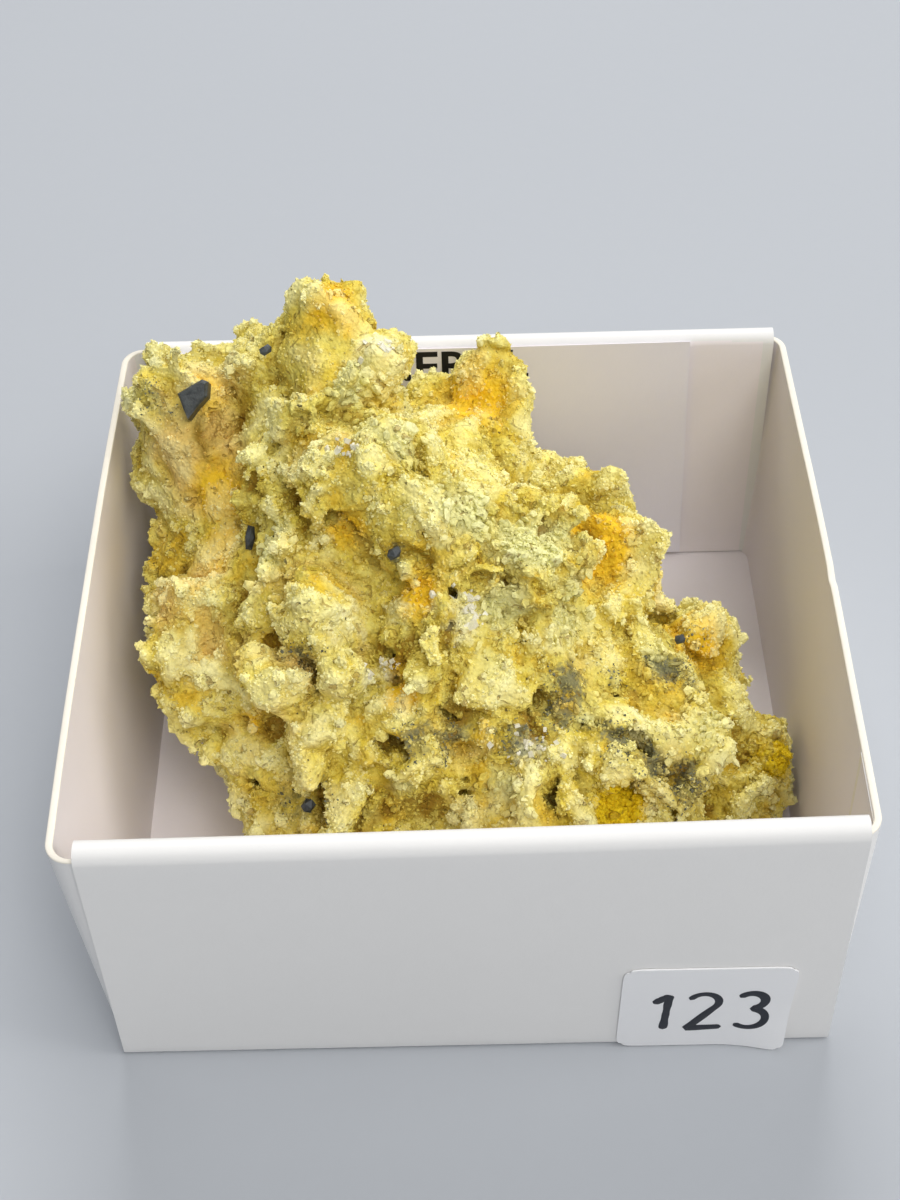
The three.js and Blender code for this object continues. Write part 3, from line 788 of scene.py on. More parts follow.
# Holes and grooves: a radius and the points of a line.
pits = {
    "lobeGroove": (0.9, (-15.6, 9.2, 22.6), (-13.4, 5.0, 22.1), (-12.1, 2.7, 21.6), (-12.4, 2.4, 19.2),
                   (-13.2, 0.1, 18.0), (-12.9, -2.0, 17.6), (-12.5, -6.4, 15.4), (-12.1, -5.9, 12.6)),
    "noseGroove": (0.8, (-9.8, 2.0, 23.1), (-8.6, 0.3, 22.6), (-6.6, -0.4, 22.6)),
    "ridgePit": (0.9, (-3.6, -2.0, 22.2), (-2.2, -2.4, 21.6)),
    "ridgeGroove": (0.8, (1.6, -3.4, 20.6), (3.4, -3.2, 20.0), (5.4, -2.5, 19.6), (8.9, 1.0, 16.5)),
    "crystalHole": (0.9, (-0.6, -5.0, 19.6), (-0.2, -2.8, 17.8)),
    "centrePit": (0.6, (-4.4, -6.6, 17.4), (-4.0, -5.2, 16.4)),
    "wedgePit": (0.9, (-5.1, -10.1, 14.3), (-4.6, -7.4, 12.4)),
    "rightPit": (1.0, (4.0, -8.1, 15.2), (3.4, -5.4, 13.2)),
    "greyGroove": (0.8, (-3.1, -9.6, 15.1), (-0.9, -9.0, 13.9), (2.8, -9.0, 14.2), (5.4, -7.3, 14.9),
                   (6.2, -5.9, 15.7)),
    "footGroove": (0.7, (-9.8, -10.0, 11.8), (-7.6, -10.9, 10.4), (-3.4, -11.3, 11.0)),
    "flankGroove": (0.8, (9.4, -4.4, 14.9), (11.9, -3.1, 13.9), (13.8, -3.6, 13.3)),
    "flankPit": (0.7, (8.6, -8.6, 13.4), (10.6, -9.2, 12.0), (12.4, -9.6, 11.2)),
    "peakCrease": (0.7, (-9.6, 5.6, 26.8), (-6.0, 6.4, 27.0), (-3.4, 6.2, 26.0)),
}
# Smaller holes: radius and mouth. They run back and down from there.
holes = [
    (0.55, (-1.1, -7.7, 15.6)), (0.6, (9.0, -4.6, 13.5)), (0.45, (-4.9, -5.5, 18.1)),
    (0.6, (-0.5, -10.5, 11.5)), (0.7, (4.4, -11.5, 11.5)), (0.6, (5.9, 1.7, 21.6)), (0.45, (2.2, -3.0, 20.1)),
    (0.5, (-1.2, -10.1, 13.0)), (0.55, (-12.4, -8.5, 8.6)), (0.5, (-8.3, -11.5, 11.0)),
    (0.5, (6.4, -8.0, 13.9)), (2.3, (-20.8, 4.6, 16.6)),
]
lump = {
    "holeRun": (0.2, 1.4, -1.1),  # from a small hole's mouth to its end
    "pitReach": 8.0,  # how far to the left and right of a hole or groove its depth is worked out
    "blend": 0.8,  # how softly lobes run together
    "sway": (4.2, 1.2),  # width and reach of the noise that sways the whole form
    "waver": (1.9, 0.5),
    "lumps": (5.6, 2.2, 0.52),  # spacing, height and level of four sizes of crumb
    "crumbs": (2.7, 2.1, 0.42),
    "nodules": (1.5, 0.75, 0.36),
    "sugar": (0.75, 0.42, 0.33),
    "ruffle": (0.9, 0.5, 0.25),  # width of the noise that ruffles the finer two, and its reach for each
    "band": (-3.6, 3.4),  # lobe depths between which coarse crumbs are worked out
    "close": 1.2,  # depth within which fine ones are
    "shrink": 0.3,
    "clearance": 0.3,  # to the tray's floor, walls and the slip
    "cell": 0.25,
    "triangles": 190000,
    "low": (-22.6, -17.0, -0.9),
    "high": (22.4, 20.2, 32.6),
}


# Hash of whole-number points: the fraction of 43758.5453 sin(127.1 i + 311.7 j + 74.7 k + 53.3 seed).
def latticeHash(low, high, seed, channels):
    i, j, k = np.meshgrid(*(np.arange(a, b + 1) for a, b in zip(low, high)), indexing="ij")
    phase = 127.1 * i + 311.7 * j + 74.7 * k
    table = np.stack([np.sin(phase + 53.3 * (seed + n)) * 43758.5453 for n in range(channels)], -1)
    return (table - np.floor(table)).reshape(-1, channels)


# Row of a lattice point in a flat table. Rows add up, as the points do.
def latticeRow(cell, size):
    i, j, k = np.transpose(cell)
    return (i * size[1] + j) * size[2] + k


# How much one corner of a cell counts at places inside it: the product of t or 1 - t along each axis.
def cornerWeight(corner, t):
    u, v, w = (t[:, n] if corner[n] else 1 - t[:, n] for n in range(3))
    return u * v * w


# Smooth noise from -1 to 1: lattice hashes blended by t * t * (3 - 2 t) along each axis.
def valueNoise(points, seed, channels=1):
    cell = np.floor(points).astype(int)
    low, size = cell.min(0), np.ptp(cell, axis=0) + 2
    table = latticeHash(low, low + size - 1, seed, channels)
    first = latticeRow(cell - low, size)
    t = points - cell
    t = t * t * (3 - 2 * t)
    total = np.zeros((len(points), channels))
    for corner in np.ndindex(2, 2, 2):
        total += cornerWeight(corner, t)[:, None] * table[first + latticeRow(corner, size)]
    return total * 2 - 1


# Distance to the nearest of many scattered points, one in each unit cube.
def crumbNoise(points, seed):
    cell = np.floor(points).astype(int)
    low, size = cell.min(0) - 1, np.ptp(cell, axis=0) + 3
    table = latticeHash(low, low + size - 1, seed, 3)
    first = latticeRow(cell - low - 1, size)
    inside = points - cell
    nearest = np.full(len(points), 9.0)
    for step in np.ndindex(3, 3, 3):
        offset = table[first + latticeRow(step, size)]
        offset += np.subtract(step, 1)
        offset -= inside
        nearest = np.minimum(nearest, np.einsum("ij,ij->i", offset, offset))
    return np.sqrt(nearest)


# Depth inside a rod with round ends: radius at the nearest point of its axis less distance to it.
def rodDepth(points, start, end, startRadius, endRadius):
    along = np.subtract(end, start)
    offset = points - start
    t = np.clip(offset @ along / (along @ along), 0, 1)
    distance = np.linalg.norm(offset - t[..., None] * along, axis=-1)
    return startRadius + (endRadius - startRadius) * t - distance


# Depth inside all lobes on the grid: blend * log of the sum of exp(depth / blend), near each lobe only.
def lobeDepth(axes):
    total = np.full([len(axis) for axis in axes], 1e-12)
    for start, end, startRadius, endRadius in lobes.values():
        reach = max(startRadius, endRadius) + 7
        low, high = np.minimum(start, end) - reach, np.maximum(start, end) + reach
        part = tuple(slice(*np.searchsorted(axis, (a, b))) for axis, a, b in zip(axes, low, high))
        near = np.stack(np.meshgrid(*(axis[cut] for axis, cut in zip(axes, part)), indexing="ij"), -1)
        total[part] += np.exp(rodDepth(near, start, end, startRadius, endRadius) / lump["blend"])
    return lump["blend"] * np.log(total)


# Values between grid points, blended along the three axes.
def sampleGrid(values, points):
    place = np.clip((points - lump["low"]) / lump["cell"], 0, np.subtract(values.shape, 1.001))
    cell = place.astype(int)
    first = latticeRow(cell, values.shape)
    t = place - cell
    total = np.zeros(len(points))
    for corner in np.ndindex(2, 2, 2):
        total += cornerWeight(corner, t) * values.ravel()[first + latticeRow(corner, values.shape)]
    return total


def swayed(points):
    width, reach = lump["sway"]
    small, little = lump["waver"]
    return points + reach * valueNoise(points / width, 11, 3) + little * valueNoise(points / small, 14, 3)


# Round crumbs with sharp creases: height * (level - 1.2 * distance squared).
def crumbHeight(points, size, seed):
    spacing, height, level = lump[size]
    return height * (level - 1.2 * crumbNoise(points / spacing, seed) ** 2)


# Depth less the tray: floor, leaning side walls and the slip behind.
def clippedDepth(depth, axes):
    x, y, z = np.meshgrid(*axes, indexing="ij", sparse=True)
    rise = z / tray["height"]
    side = tray["width"] / 2 + tray["overhang"] - tray["card"] - lump["clearance"]
    behind = slip["front"] - 2 * lump["clearance"]
    for wall in (z - tray["card"] - lump["clearance"], x + side + tray["lean"]["left"] * rise,
                 side + tray["lean"]["right"] * rise - x, behind + slip["lean"] * rise - y):
        depth = np.minimum(depth, wall)
    return depth


# Patches: x, y, z, radius and strength, for strength * (1 - distance / radius) near each. Smooth ones carry
# lower coarse crumbs, calm ones lower fine crumbs, the others are painted. Grit lies along three pits too.
grittyPits = ("greyGroove", "flankGroove", "flankPit")
patches = {
    "orange": [
        (-7.4, 12.8, 28.8, 3.4, 1.0), (-15.4, 10.6, 24.4, 3.0, 0.8), (-15.0, 6.6, 19.8, 3.8, 1.0),
        (-14.6, 3.8, 17.6, 3.0, 1.1), (1.2, 13.4, 21.1, 4.6, 1.0), (-2.6, -3.4, 20.6, 2.8, 1.0),
        (-3.9, -7.6, 16.7, 1.9, 1.0), (-4.0, -6.4, 17.6, 1.6, 0.9), (-6.6, -0.2, 22.4, 2.2, 0.9),
        (8.1, 3.0, 17.6, 4.2, 1.3), (14.4, 0.7, 11.6, 3.4, 1.0), (12.0, 3.6, 13.8, 3.0, 0.9),
        (3.6, 6.6, 20.6, 3.0, 0.8), (-4.0, 7.4, 26.0, 2.0, 0.7), (-12.6, -5.8, 12.6, 2.8, 0.6),
        (0.6, -8.8, 14.4, 1.9, 0.7), (5.6, -6.9, 14.9, 1.6, 0.9), (12.2, -6.4, 12.4, 2.2, 0.7),
        (-8.4, -2.6, 20.6, 2.4, 0.7), (-0.4, 5.4, 23.4, 2.2, 0.6), (-9.4, 7.4, 26.8, 2.0, 0.6),
    ],
    "beige": [
        (-16.0, 7.8, 21.0, 5.8, 1.1), (-16.6, 1.3, 16.0, 5.2, 1.0), (-15.4, 11.0, 24.6, 4.4, 0.7),
        (-12.6, -5.4, 10.6, 3.8, 0.6), (-9.3, 8.6, 27.6, 3.4, 0.6), (-6.9, 3.4, 26.8, 2.4, 0.7),
        (-9.4, -6.0, 17.6, 3.0, 0.7), (-11.0, 5.0, 24.4, 2.6, 0.6), (-9.0, 4.4, 24.0, 5.6, 0.5),
        (-15.4, -1.4, 14.6, 5.0, 0.7),
    ],
    "green": [
        (-4.4, 3.4, 25.4, 3.2, 0.9), (0.4, 0.6, 23.6, 4.0, 1.0), (4.0, -0.4, 21.6, 3.8, 1.1),
        (2.4, -3.4, 19.8, 3.0, 0.8), (11.0, -3.4, 14.4, 3.4, 0.6), (-6.4, 7.6, 27.0, 2.6, 0.8),
        (-11.4, 0.2, 20.0, 3.0, 0.8), (2.4, -10.4, 11.4, 3.0, 0.7), (-9.8, -4.4, 19.0, 2.6, 0.6),
        (6.8, -7.6, 14.4, 2.4, 0.6), (-3.8, -10.6, 12.4, 2.6, 0.6), (6.8, -1.6, 17.4, 4.6, 0.8),
        (12.8, -6.8, 11.4, 4.0, 0.7), (0.6, -5.6, 16.8, 3.0, 0.6),
    ],
    "smooth": [
        (8.2, 3.4, 16.6, 4.4, 1.6), (-17.0, 8.5, 20.0, 8.0, 1.0), (18.6, -4.0, 6.0, 5.0, 1.0),
    ],
    "calm": [
        (-7.6, 11, 27, 7.0, 1.0), (-15.5, 9.5, 20, 6.5, 1.0), (2.6, 14.5, 19.5, 5.0, 0.8),
        (8.0, 4.4, 16.4, 3.6, 0.8), (-13.8, 3.2, 16.0, 3.6, 0.7), (12.2, 0.8, 10.5, 3.4, 0.6),
        (-6.4, 0.8, 23.6, 2.6, 0.7), (-6.6, -4.4, 19.6, 3.2, 0.8), (7.5, -4.8, 15.2, 2.6, 0.6),
    ],
    "mustard": [(8.6, -10.6, 9.8, 2.6, 1.3), (19.2, -5.0, 6.6, 3.4, 0.8)],
    "chalk": [
        (-0.5, -4.6, 19.6, 2.4, 1.0), (-5.1, -6.8, 17.5, 1.8, 1.0), (-4.9, 10.4, 27.4, 2.2, 0.9),
        (3.4, -9.0, 13.2, 2.0, 0.8), (-8.4, -0.6, 22.0, 1.6, 0.8), (-7.4, -4.4, 19.6, 3.4, 0.7),
        (-4.4, -4.0, 20.2, 2.4, 0.6), (9.8, -7.4, 13.4, 2.2, 0.7), (14.6, -6.0, 10.8, 2.2, 0.7),
    ],
    "grit": [
        (-9.1, -5.6, 18.6, 2.4, 0.7), (12.9, -10.0, 10.5, 2.6, 0.9), (-10.6, -9.6, 9.6, 2.2, 0.9),
        (-8.7, -10.8, 11.4, 2.0, 0.8), (-4.0, -2.0, 22.2, 1.3, 1.2), (-18.6, 10.0, 23.8, 2.4, 0.7),
        (13.6, -0.6, 12.6, 1.8, 0.6), (-12.8, -2.0, 18.0, 1.6, 0.6),
    ] + [(*point, 2.1, 1.0) for name in grittyPits for point in pits[name][1:]],
}


def patchValues(points, name):
    value = np.zeros(len(points))
    for *middle, radius, strength in patches[name]:
        near = strength * (1 - np.linalg.norm(points - np.array(middle), axis=1) / radius)
        value = np.maximum(value, near)
    return value


# One, and less near calm places.
def roughness(points):
    return 1 - 0.6 * np.clip(1.5 * patchValues(points, "calm"), 0, 1)


# The lump's depth on a grid: lobes, then two sizes of crumb and the pits in a swayed copy of space, and
# two finer sizes close to the surface. Relief keeps the height of the finer ones, for the colours, and is
# lowered near pits and holes so that the crust's colour paints shade there.
def lumpDepth():
    axes = [np.arange(a, b + lump["cell"], lump["cell"]) for a, b in zip(lump["low"], lump["high"])]
    lobed = lobeDepth(axes)
    band = (lobed > lump["band"][0]) & (lobed < lump["band"][1])
    points = np.stack([axis[n] for axis, n in zip(axes, np.nonzero(band))], -1)
    moved = swayed(points)
    depth = sampleGrid(lobed, moved) - lump["shrink"]
    coarse = crumbHeight(moved, "crumbs", 21)
    depth += (crumbHeight(moved, "lumps", 20) + coarse) * (1 - np.clip(patchValues(points, "smooth"), 0, 0.9))
    hollow = np.full(len(depth), -9.0)
    lines = [(radius, mouth, np.add(mouth, lump["holeRun"])) for radius, mouth in holes]
    for radius, *line in [*pits.values(), *lines]:
        for start, end in zip(line[:-1], line[1:]):
            ends = np.add(sorted((start[0], end[0])), (-lump["pitReach"], lump["pitReach"]))
            near = slice(*np.searchsorted(points[:, 0], ends))
            hollow[near] = np.maximum(hollow[near], rodDepth(moved[near], start, end, radius, radius))
    depth = np.minimum(depth, -hollow)
    close = np.abs(depth) < lump["close"]
    fine = moved[close]
    width, noduleReach, sugarReach = lump["ruffle"]
    ruffle = valueNoise(fine / width, 31, 3)
    detail = crumbHeight(fine + noduleReach * ruffle, "nodules", 34)
    detail += crumbHeight(fine + sugarReach * ruffle + 2.5, "sugar", 37)
    detail *= roughness(fine)
    depth[close] += detail
    whole = np.where(lobed > 0, 3.0, -3.0)
    whole[band] = depth
    relief = np.zeros_like(whole)
    # lowered near pits and holes: painted shade in the crust's colour
    height = 0.35 * coarse - 0.4 * np.clip(1 + hollow, 0, 1)
    height[close] += detail
    relief[band] = height
    return clippedDepth(whole, axes), relief


# Which of the 256 inside and outside patterns of a cell keep both sides in one group each.
def allowedPatterns():
    allowed = np.ones(256, bool)
    for pattern in range(256):
        for side in (0, 1):
            members = {c for c in range(8) if pattern >> c & 1 == side}
            reached = set(list(members)[:1])
            for step in range(7):
                reached |= {c ^ bit for c in reached for bit in (1, 2, 4)} & members
            allowed[pattern] &= reached == members
    return allowed


def cellPatterns(inside):
    nx, ny, nz = inside.shape
    pattern = np.zeros((nx - 1, ny - 1, nz - 1), np.uint8)
    for c in range(8):
        i, j, k = c & 1, c >> 1 & 1, c >> 2
        pattern |= inside[i:nx - 1 + i, j:ny - 1 + j, k:nz - 1 + k].astype(np.uint8) << c
    return pattern


# Fills one corner of each cell whose pattern would pinch the surface, until none is left.
def unpinch(depth):
    allowed = allowedPatterns()
    corners = np.array([(c & 1, c >> 1 & 1, c >> 2) for c in range(8)])
    while True:
        bad = np.argwhere(~allowed[cellPatterns(depth > 0)])
        if not len(bad):
            return depth
        place = bad[:, None] + corners
        values = depth[tuple(np.moveaxis(place, -1, 0))]
        best = np.where(values > 0, -np.inf, values).argmax(1)
        depth[tuple(place[np.arange(len(bad)), best].T)] = 0.02


# One point in each cell that the surface crosses, the mean of its crossed edges, and one quad for each
# crossed edge of the grid.
def surfaceNet(depth):
    pattern = cellPatterns(depth > 0)
    home = np.argwhere((pattern > 0) & (pattern < 255))
    number = np.full(pattern.shape, -1)
    number[tuple(home.T)] = np.arange(len(home))
    total = np.zeros((len(home), 3))
    crossings = np.zeros((len(home), 1))
    faces = []
    for axis in range(3):
        unit, u, v = np.roll(np.eye(3, dtype=int), -axis, axis=0)
        for corner in (0 * u, u, v, u + v):
            a = depth[tuple((home + corner).T)]
            b = depth[tuple((home + corner + unit).T)]
            crossed = (a > 0) != (b > 0)
            t = np.where(crossed, a / np.where(crossed, a - b, 1), 0)
            total += crossed[:, None] * (corner + t[:, None] * unit)
            crossings += crossed[:, None]
        inner = tuple(slice(None) if n == axis else slice(1, -1) for n in range(3))
        edge = np.argwhere(np.diff(depth > 0, axis=axis)[inner]) + (1 - unit)
        quads = np.stack([number[tuple((edge - step).T)] for step in (u + v, v, 0 * u, u)], -1)
        starts = depth[tuple(edge.T)] > 0
        faces.append(np.where(starts[:, None], quads, quads[:, ::-1]))
    points = np.add(lump["low"], (home + total / crossings) * lump["cell"])
    return points, np.concatenate(faces)


# Keeps the largest connected part: the corners of a face all take the lowest number among them, again
# and again.
def largestPart(points, faces):
    label, before = np.arange(len(points)), np.zeros(len(points))
    while (label != before).any():
        before = label.copy()
        np.minimum.at(label, faces, label[faces].min(1)[:, None])
        label = label[label]
    kept = label == np.bincount(label).argmax()
    number = np.cumsum(kept) - 1
    return points[kept], number[faces[kept[faces[:, 0]]]]


# Thins the net to the triangles allowed, flattest places first, and gives triangles back.
def thinned(points, faces):
    mesh = bpy.data.meshes.new("net")
    mesh.from_pydata(points, [], faces)
    holder = placed("net", mesh)
    thin = holder.modifiers.new("thin", "DECIMATE")
    thin.ratio = min(1.0, lump["triangles"] / (2 * len(faces)))
    thin.use_collapse_triangulate = True
    kept = readOff(holder)
    bpy.data.meshes.remove(mesh)
    return kept


def makeLump():
    depth, relief = lumpDepth()
    points, faces = thinned(*largestPart(*surfaceNet(unpinch(depth))))
    values = {name: patchValues(points, name) for name in crustPatches}
    values["crest"] = np.clip(0.5 + 0.75 * sampleGrid(relief, points), 0, 1)
    values["shade"] = 0.5 + 0.25 * valueNoise(points / 0.5, 51)[:, 0]
    newPiece("bilinite_crust", points, faces, [crust], "bilinite_lump", values=values)
    print("lump", len(faces), "triangles")
    return points, faces, values


lumpPoints, lumpFaces, lumpValues = makeLump()


# An eight-sided grain and a twenty-sided crumb, both of unit radius.
octahedron = (np.kron(np.eye(3), [[1], [-1]]),
              np.array([(0, 2, 4), (2, 1, 4), (1, 3, 4), (3, 0, 4), (2, 0, 5), (1, 2, 5), (3, 1, 5),
                        (0, 3, 5)]))


def icosahedron():
    golden = (1 + math.sqrt(5)) / 2
    points = [(s, t * golden, 0) for t in (1, -1) for s in (-1, 1)]
    points = np.array(points + [(0, x, y) for x, y, _ in points] + [(y, 0, x) for x, y, _ in points], float)
    near = np.linalg.norm(points[:, None] - points, axis=2) < 2.1
    faces = [(a, b, c) for a in range(12) for b in range(a + 1, 12) for c in range(b + 1, 12)
             if near[a, b] and near[b, c] and near[a, c]]
    faces = np.array(faces)
    a, b, c = cornersOf(points, faces)
    turned = (np.cross(b, c) * a).sum(1) < 0
    faces[turned] = faces[turned][:, ::-1]
    return points / math.sqrt(1 + golden ** 2), faces


# Turning matrices from unit quaternions of normal random numbers.
def randomTurns(rng, count):
    q = rng.normal(size=(count, 4))
    w, x, y, z = (q / np.linalg.norm(q, axis=1)[:, None]).T
    rows = [1 - 2 * (y * y + z * z), 2 * (x * y - z * w), 2 * (x * z + y * w),
            2 * (x * y + z * w), 1 - 2 * (x * x + z * z), 2 * (y * z - x * w),
            2 * (x * z - y * w), 2 * (y * z + x * w), 1 - 2 * (x * x + y * y)]
    return np.stack(rows, -1).reshape(-1, 3, 3)


grains = {
    # count, least and largest radius, stretch, height to width, share sunk, seed
    "crumbs": (3000, (0.12, 0.42), 0.7, 1.0, 0.45, 3),
    "flakes": (800, (0.16, 0.42), 0.7, 0.5, 0.30, 4),
    "sugar": (23500, (0.05, 0.15), 0.8, 1.0, 0.35, 5),
    "grit": (2400, (0.03, 0.12), 1.0, 0.7, 0.45, 9),
    "granules": (520, (0.16, 0.42), 0.7, 1.0, 0.40, 11),
}
smallShare = 2.5  # the power that makes most grains small
grainJitter = 0.22


# Grains on a host mesh: triangles are drawn by area times liking, a grain sits at a random place in its
# triangle, is jittered, stretched, turned at random and sunk. Values are copied from the host's corner.
def scatter(kind, shape, host, liking, seedStep=0):
    count, (low, high), stretched, flat, sink, seed = grains[kind]
    rng = np.random.default_rng(seed + seedStep)
    points, faces, attributes = host
    a, b, c = cornersOf(points, faces)
    across = np.cross(b - a, c - a)
    area = np.linalg.norm(across, axis=1)
    reach = np.cumsum(area * liking)
    chosen = np.searchsorted(reach, rng.random(count) * reach[-1])
    u, v = rng.random((2, count, 1))
    over = u + v > 1
    u, v = np.where(over, 1 - u, u), np.where(over, 1 - v, v)
    centre = a[chosen] + u * (b - a)[chosen] + v * (c - a)[chosen]
    normal = across[chosen] / np.maximum(area[chosen], 1e-9)[:, None]
    radius = low + (high - low) * rng.random(count) ** smallShare
    form, formFaces = shape
    stretch = 1 + stretched * (rng.random((count, 1, 3)) - 0.5)
    stretch[..., 2] *= flat
    local = form * stretch * (1 + grainJitter * rng.uniform(-1, 1, (count, len(form), 1)))
    local = np.einsum("nij,nkj->nki", randomTurns(rng, count), local * radius[:, None, None])
    place = centre + normal * (radius * (1 - 2 * sink))[:, None]
    result = (local + place[:, None]).reshape(-1, 3)
    resultFaces = (formFaces + (np.arange(count) * len(form))[:, None, None]).reshape(-1, 3)
    own = {name: np.repeat(value[faces[chosen, 0]], len(form)) for name, value in attributes.items()}
    own["shade"] = np.repeat(rng.random(count), len(form))
    # grains stand proud, so their crest is raised and they take more of the painted light on crumb tops
    own["crest"] = np.clip(own["crest"] + 0.15, 0, 1)
    return result, resultFaces, own


def addGrains(name, result, material):
    points, faces, values = result
    newPiece(name, points, faces, [material], values=values)


# How much a kind of grain likes a triangle: not on undersides, more where noise or a patch says so.
def grainLiking(points, faces, attributes, patch=None, contrast=0.0):
    a, b, c = cornersOf(points, faces)
    across = np.cross(b - a, c - a)
    up = across[:, 2] / np.maximum(np.linalg.norm(across, axis=1), 1e-9)
    liking = np.clip(up + 0.75, 0.04, 1)
    if patch:
        liking = liking * np.clip(attributes[patch][faces[:, 0]] - 0.12, 0, 1)
    if contrast:
        liking = liking * np.clip(0.5 + contrast * valueNoise(a / 1.1, 61)[:, 0], 0.02, 1) * roughness(a)
    return liking


def hostWith(host, extra):
    points = np.concatenate([host[0], extra[0]])
    faces = np.concatenate([host[1], extra[1] + len(host[0])])
    return points, faces, {key: np.concatenate([host[2][key], extra[2][key]]) for key in host[2]}


# Crumbs, flakes and granules on the lump, then sugar and grit on the lump, its crumbs and granules.
def makeGrains():
    host = (lumpPoints, lumpFaces, lumpValues)
    made = {}
    for kind, name, choice in (("crumbs", "crust_crumbs", {"contrast": 0.9}),
                               ("flakes", "crust_flakes", {"patch": "green"}),
                               ("granules", "mustard_granules", {"patch": "mustard"})):
        made[kind] = scatter(kind, icosahedron(), host, grainLiking(*host, **choice))
        addGrains(name, made[kind], crust)
    host = hostWith(hostWith(host, made["crumbs"]), made["granules"])
    liking = grainLiking(*host, contrast=0.6)
    for part in range(3):
        addGrains(f"sugar_grains_{part + 1}", scatter("sugar", octahedron, host, liking, part), crust)
    liking = grainLiking(*host, patch="grit", contrast=1.0)
    addGrains("grey_grit", scatter("grit", octahedron, host, liking), greyGrit)


makeGrains()
print("grains scattered")


chips = {
    # middle, half sizes, turn about the view line in degrees
    "tallChip": ((-12.7, 2.6, 19.5), (0.34, 0.35, 0.85), -8),
    "ridgeChip": ((-4.0, -2.1, 22.6), (0.5, 0.3, 0.38), 20),
    "peakChip": ((-11.4, 9.6, 28.0), (0.45, 0.3, 0.3), 30),
    "footChip": ((-9.4, -10.6, 10.6), (0.5, 0.35, 0.4), 55),
    "rightChip": ((12.9, -0.6, 13.2), (0.4, 0.3, 0.3), 10),
    "backChip": ((9.4, 7.4, 17.6), (0.25, 0.25, 0.3), 70),
}
chipShape = {"seed": 17, "swell": (0.85, 1.35), "cut": 0.85}  # swollen at random, then cut to a box
# The large chip's outline as seen from the front and above: right and up from its middle.
blade = {
    "outline": ((-0.85, 0.30), (0.62, 1.12), (0.98, 0.98), (0.92, 0.12), (0.28, -0.55), (-0.28, -1.25),
                (-0.55, -0.55)),
    "middle": (-16.1, 9.3, 24.7),
    "depth": 1.6,
    "bevel": 0.82,  # the front face is this share of the outline
    "shoulder": 0.22,  # and stands this far forward, tilted by these slopes right and up
    "tilt": (-0.1, 0.18),
}


# Right, up and towards the lens, for things that face it.
def lensAxes(turn=0.0):
    e, t = math.radians(view["elevation"]), math.radians(turn)
    right = np.array([1.0, 0, 0])
    up = np.array([0, math.sin(e), math.cos(e)])
    toward = np.array([0, -math.cos(e), math.sin(e)])
    return np.array([math.cos(t) * right + math.sin(t) * up, math.cos(t) * up - math.sin(t) * right, toward])


def fanFaces(count, start, turned):
    ring = np.arange(count)
    fan = np.stack([np.full(count - 2, start), start + ring[1:-1], start + ring[2:]], -1)
    return fan[:, ::-1] if turned else fan


# Three rings of the outline: back, shoulder and a smaller, tilted front face.
def bladeSolid():
    outline = np.array(blade["outline"])
    count = len(outline)
    layers = [(1.0, -blade["depth"]), (1.0, 0.0), (blade["bevel"], blade["shoulder"])]
    rings = [np.column_stack([outline * size, np.full(count, height)]) for size, height in layers]
    rings[2][:, 2] += outline @ blade["tilt"]
    local = np.concatenate(rings)
    k = np.arange(count)
    onward = (k + 1) % count
    wall = np.stack([k, k + count, onward + count, onward], -1)
    walls = np.concatenate([wall, wall + count])
    split = np.concatenate([walls[:, [0, 1, 2]], walls[:, [0, 2, 3]]])
    faces = np.concatenate([split, fanFaces(count, 0, False), fanFaces(count, 2 * count, True)])
    return local @ lensAxes() + blade["middle"], faces


def makeChips():
    rng = np.random.default_rng(chipShape["seed"])
    form, formFaces = icosahedron()
    cut = chipShape["cut"]
    solids = [bladeSolid()]
    for middle, half, turn in chips.values():
        local = np.clip(form * rng.uniform(*chipShape["swell"], (12, 1)), -cut, cut)
        local = local * (half[0], half[2], half[1])
        solids.append((local @ lensAxes(turn) + middle, formFaces))
    points, faces = joined(solids)
    newPiece("lignite_chips", points, outward(points, faces), [lignite])


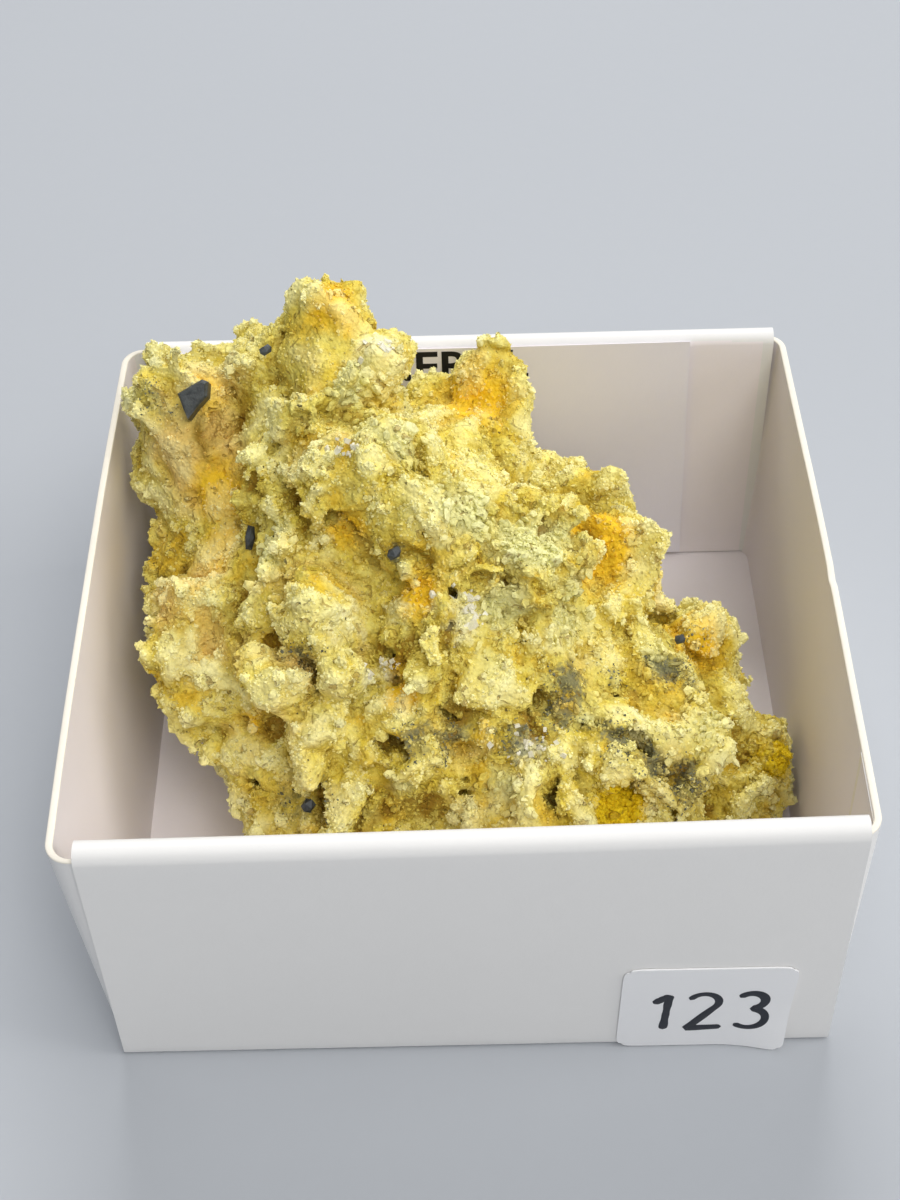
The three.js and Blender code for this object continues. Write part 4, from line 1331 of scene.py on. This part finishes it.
clusters = {
    # middle, spread, count, crystal half size
    "middleCluster": ((-0.2, -3.9, 19.6), (0.9, 0.6, 1.3), 75, 0.2),
    "leftCluster": ((-5.0, -6.4, 17.7), (1.1, 0.5, 0.5), 20, 0.14),
    "lowCluster": ((3.6, -9.0, 13.2), (1.5, 0.8, 0.9), 34, 0.14),
    "ridgeCluster": ((-6.6, 2.4, 26.8), (0.8, 0.5, 0.6), 14, 0.18),
    "peakCluster": ((-5.0, 10.0, 27.0), (0.7, 0.5, 0.9), 14, 0.2),
}
crystalShape = {"seed": 23, "size": (0.4, 1.25), "sides": (0.6, 1.3), "corners": (0.65, 1.15)}


# Blocky white crystals: cubes with jittered corners, drawn to the nearest point of the lump.
def makeCrystals():
    rng = np.random.default_rng(crystalShape["seed"])
    size, sides, corners = (crystalShape[key] for key in ("size", "sides", "corners"))
    cube = np.array(list(np.ndindex(2, 2, 2))) * 2.0 - 1
    quads = np.array([(0, 1, 3, 2), (4, 6, 7, 5), (0, 4, 5, 1), (2, 3, 7, 6), (0, 2, 6, 4), (1, 5, 7, 3)])
    solids = []
    for middle, spread, count, half in clusters.values():
        wanted = middle + rng.normal(size=(count, 3)) * np.array(spread) / 1.7
        near = lumpPoints[np.linalg.norm(lumpPoints - middle, axis=1) < 4]
        seat = near[np.linalg.norm(near[None] - wanted[:, None], axis=2).argmin(1)]
        half = half * rng.uniform(*size, (count, 1, 1)) * rng.uniform(*sides, (count, 1, 3))
        local = cube * half * rng.uniform(*corners, (count, 8, 1))
        local = np.einsum("nij,nkj->nki", randomTurns(rng, count), local) + seat[:, None]
        faces = (quads + (np.arange(count) * 8)[:, None, None]).reshape(-1, 4)
        solids.append((local.reshape(-1, 3), faces))
    points, faces = joined(solids)
    newPiece("white_crystals", points, outward(points, faces), [clearCrystal])


makeChips()
makeCrystals()
print("chips and crystals set")


def makeFloor():
    half = studio["floorHalf"] * mm
    corners = [(-half, -half, 0), (half, -half, 0), (half, half, 0), (-half, half, 0)]
    mesh = bpy.data.meshes.new("floor")
    mesh.from_pydata(corners, [], [(0, 1, 2, 3)])
    mesh.materials.append(floorPaint)
    placed("floor", mesh)


makeFloor()
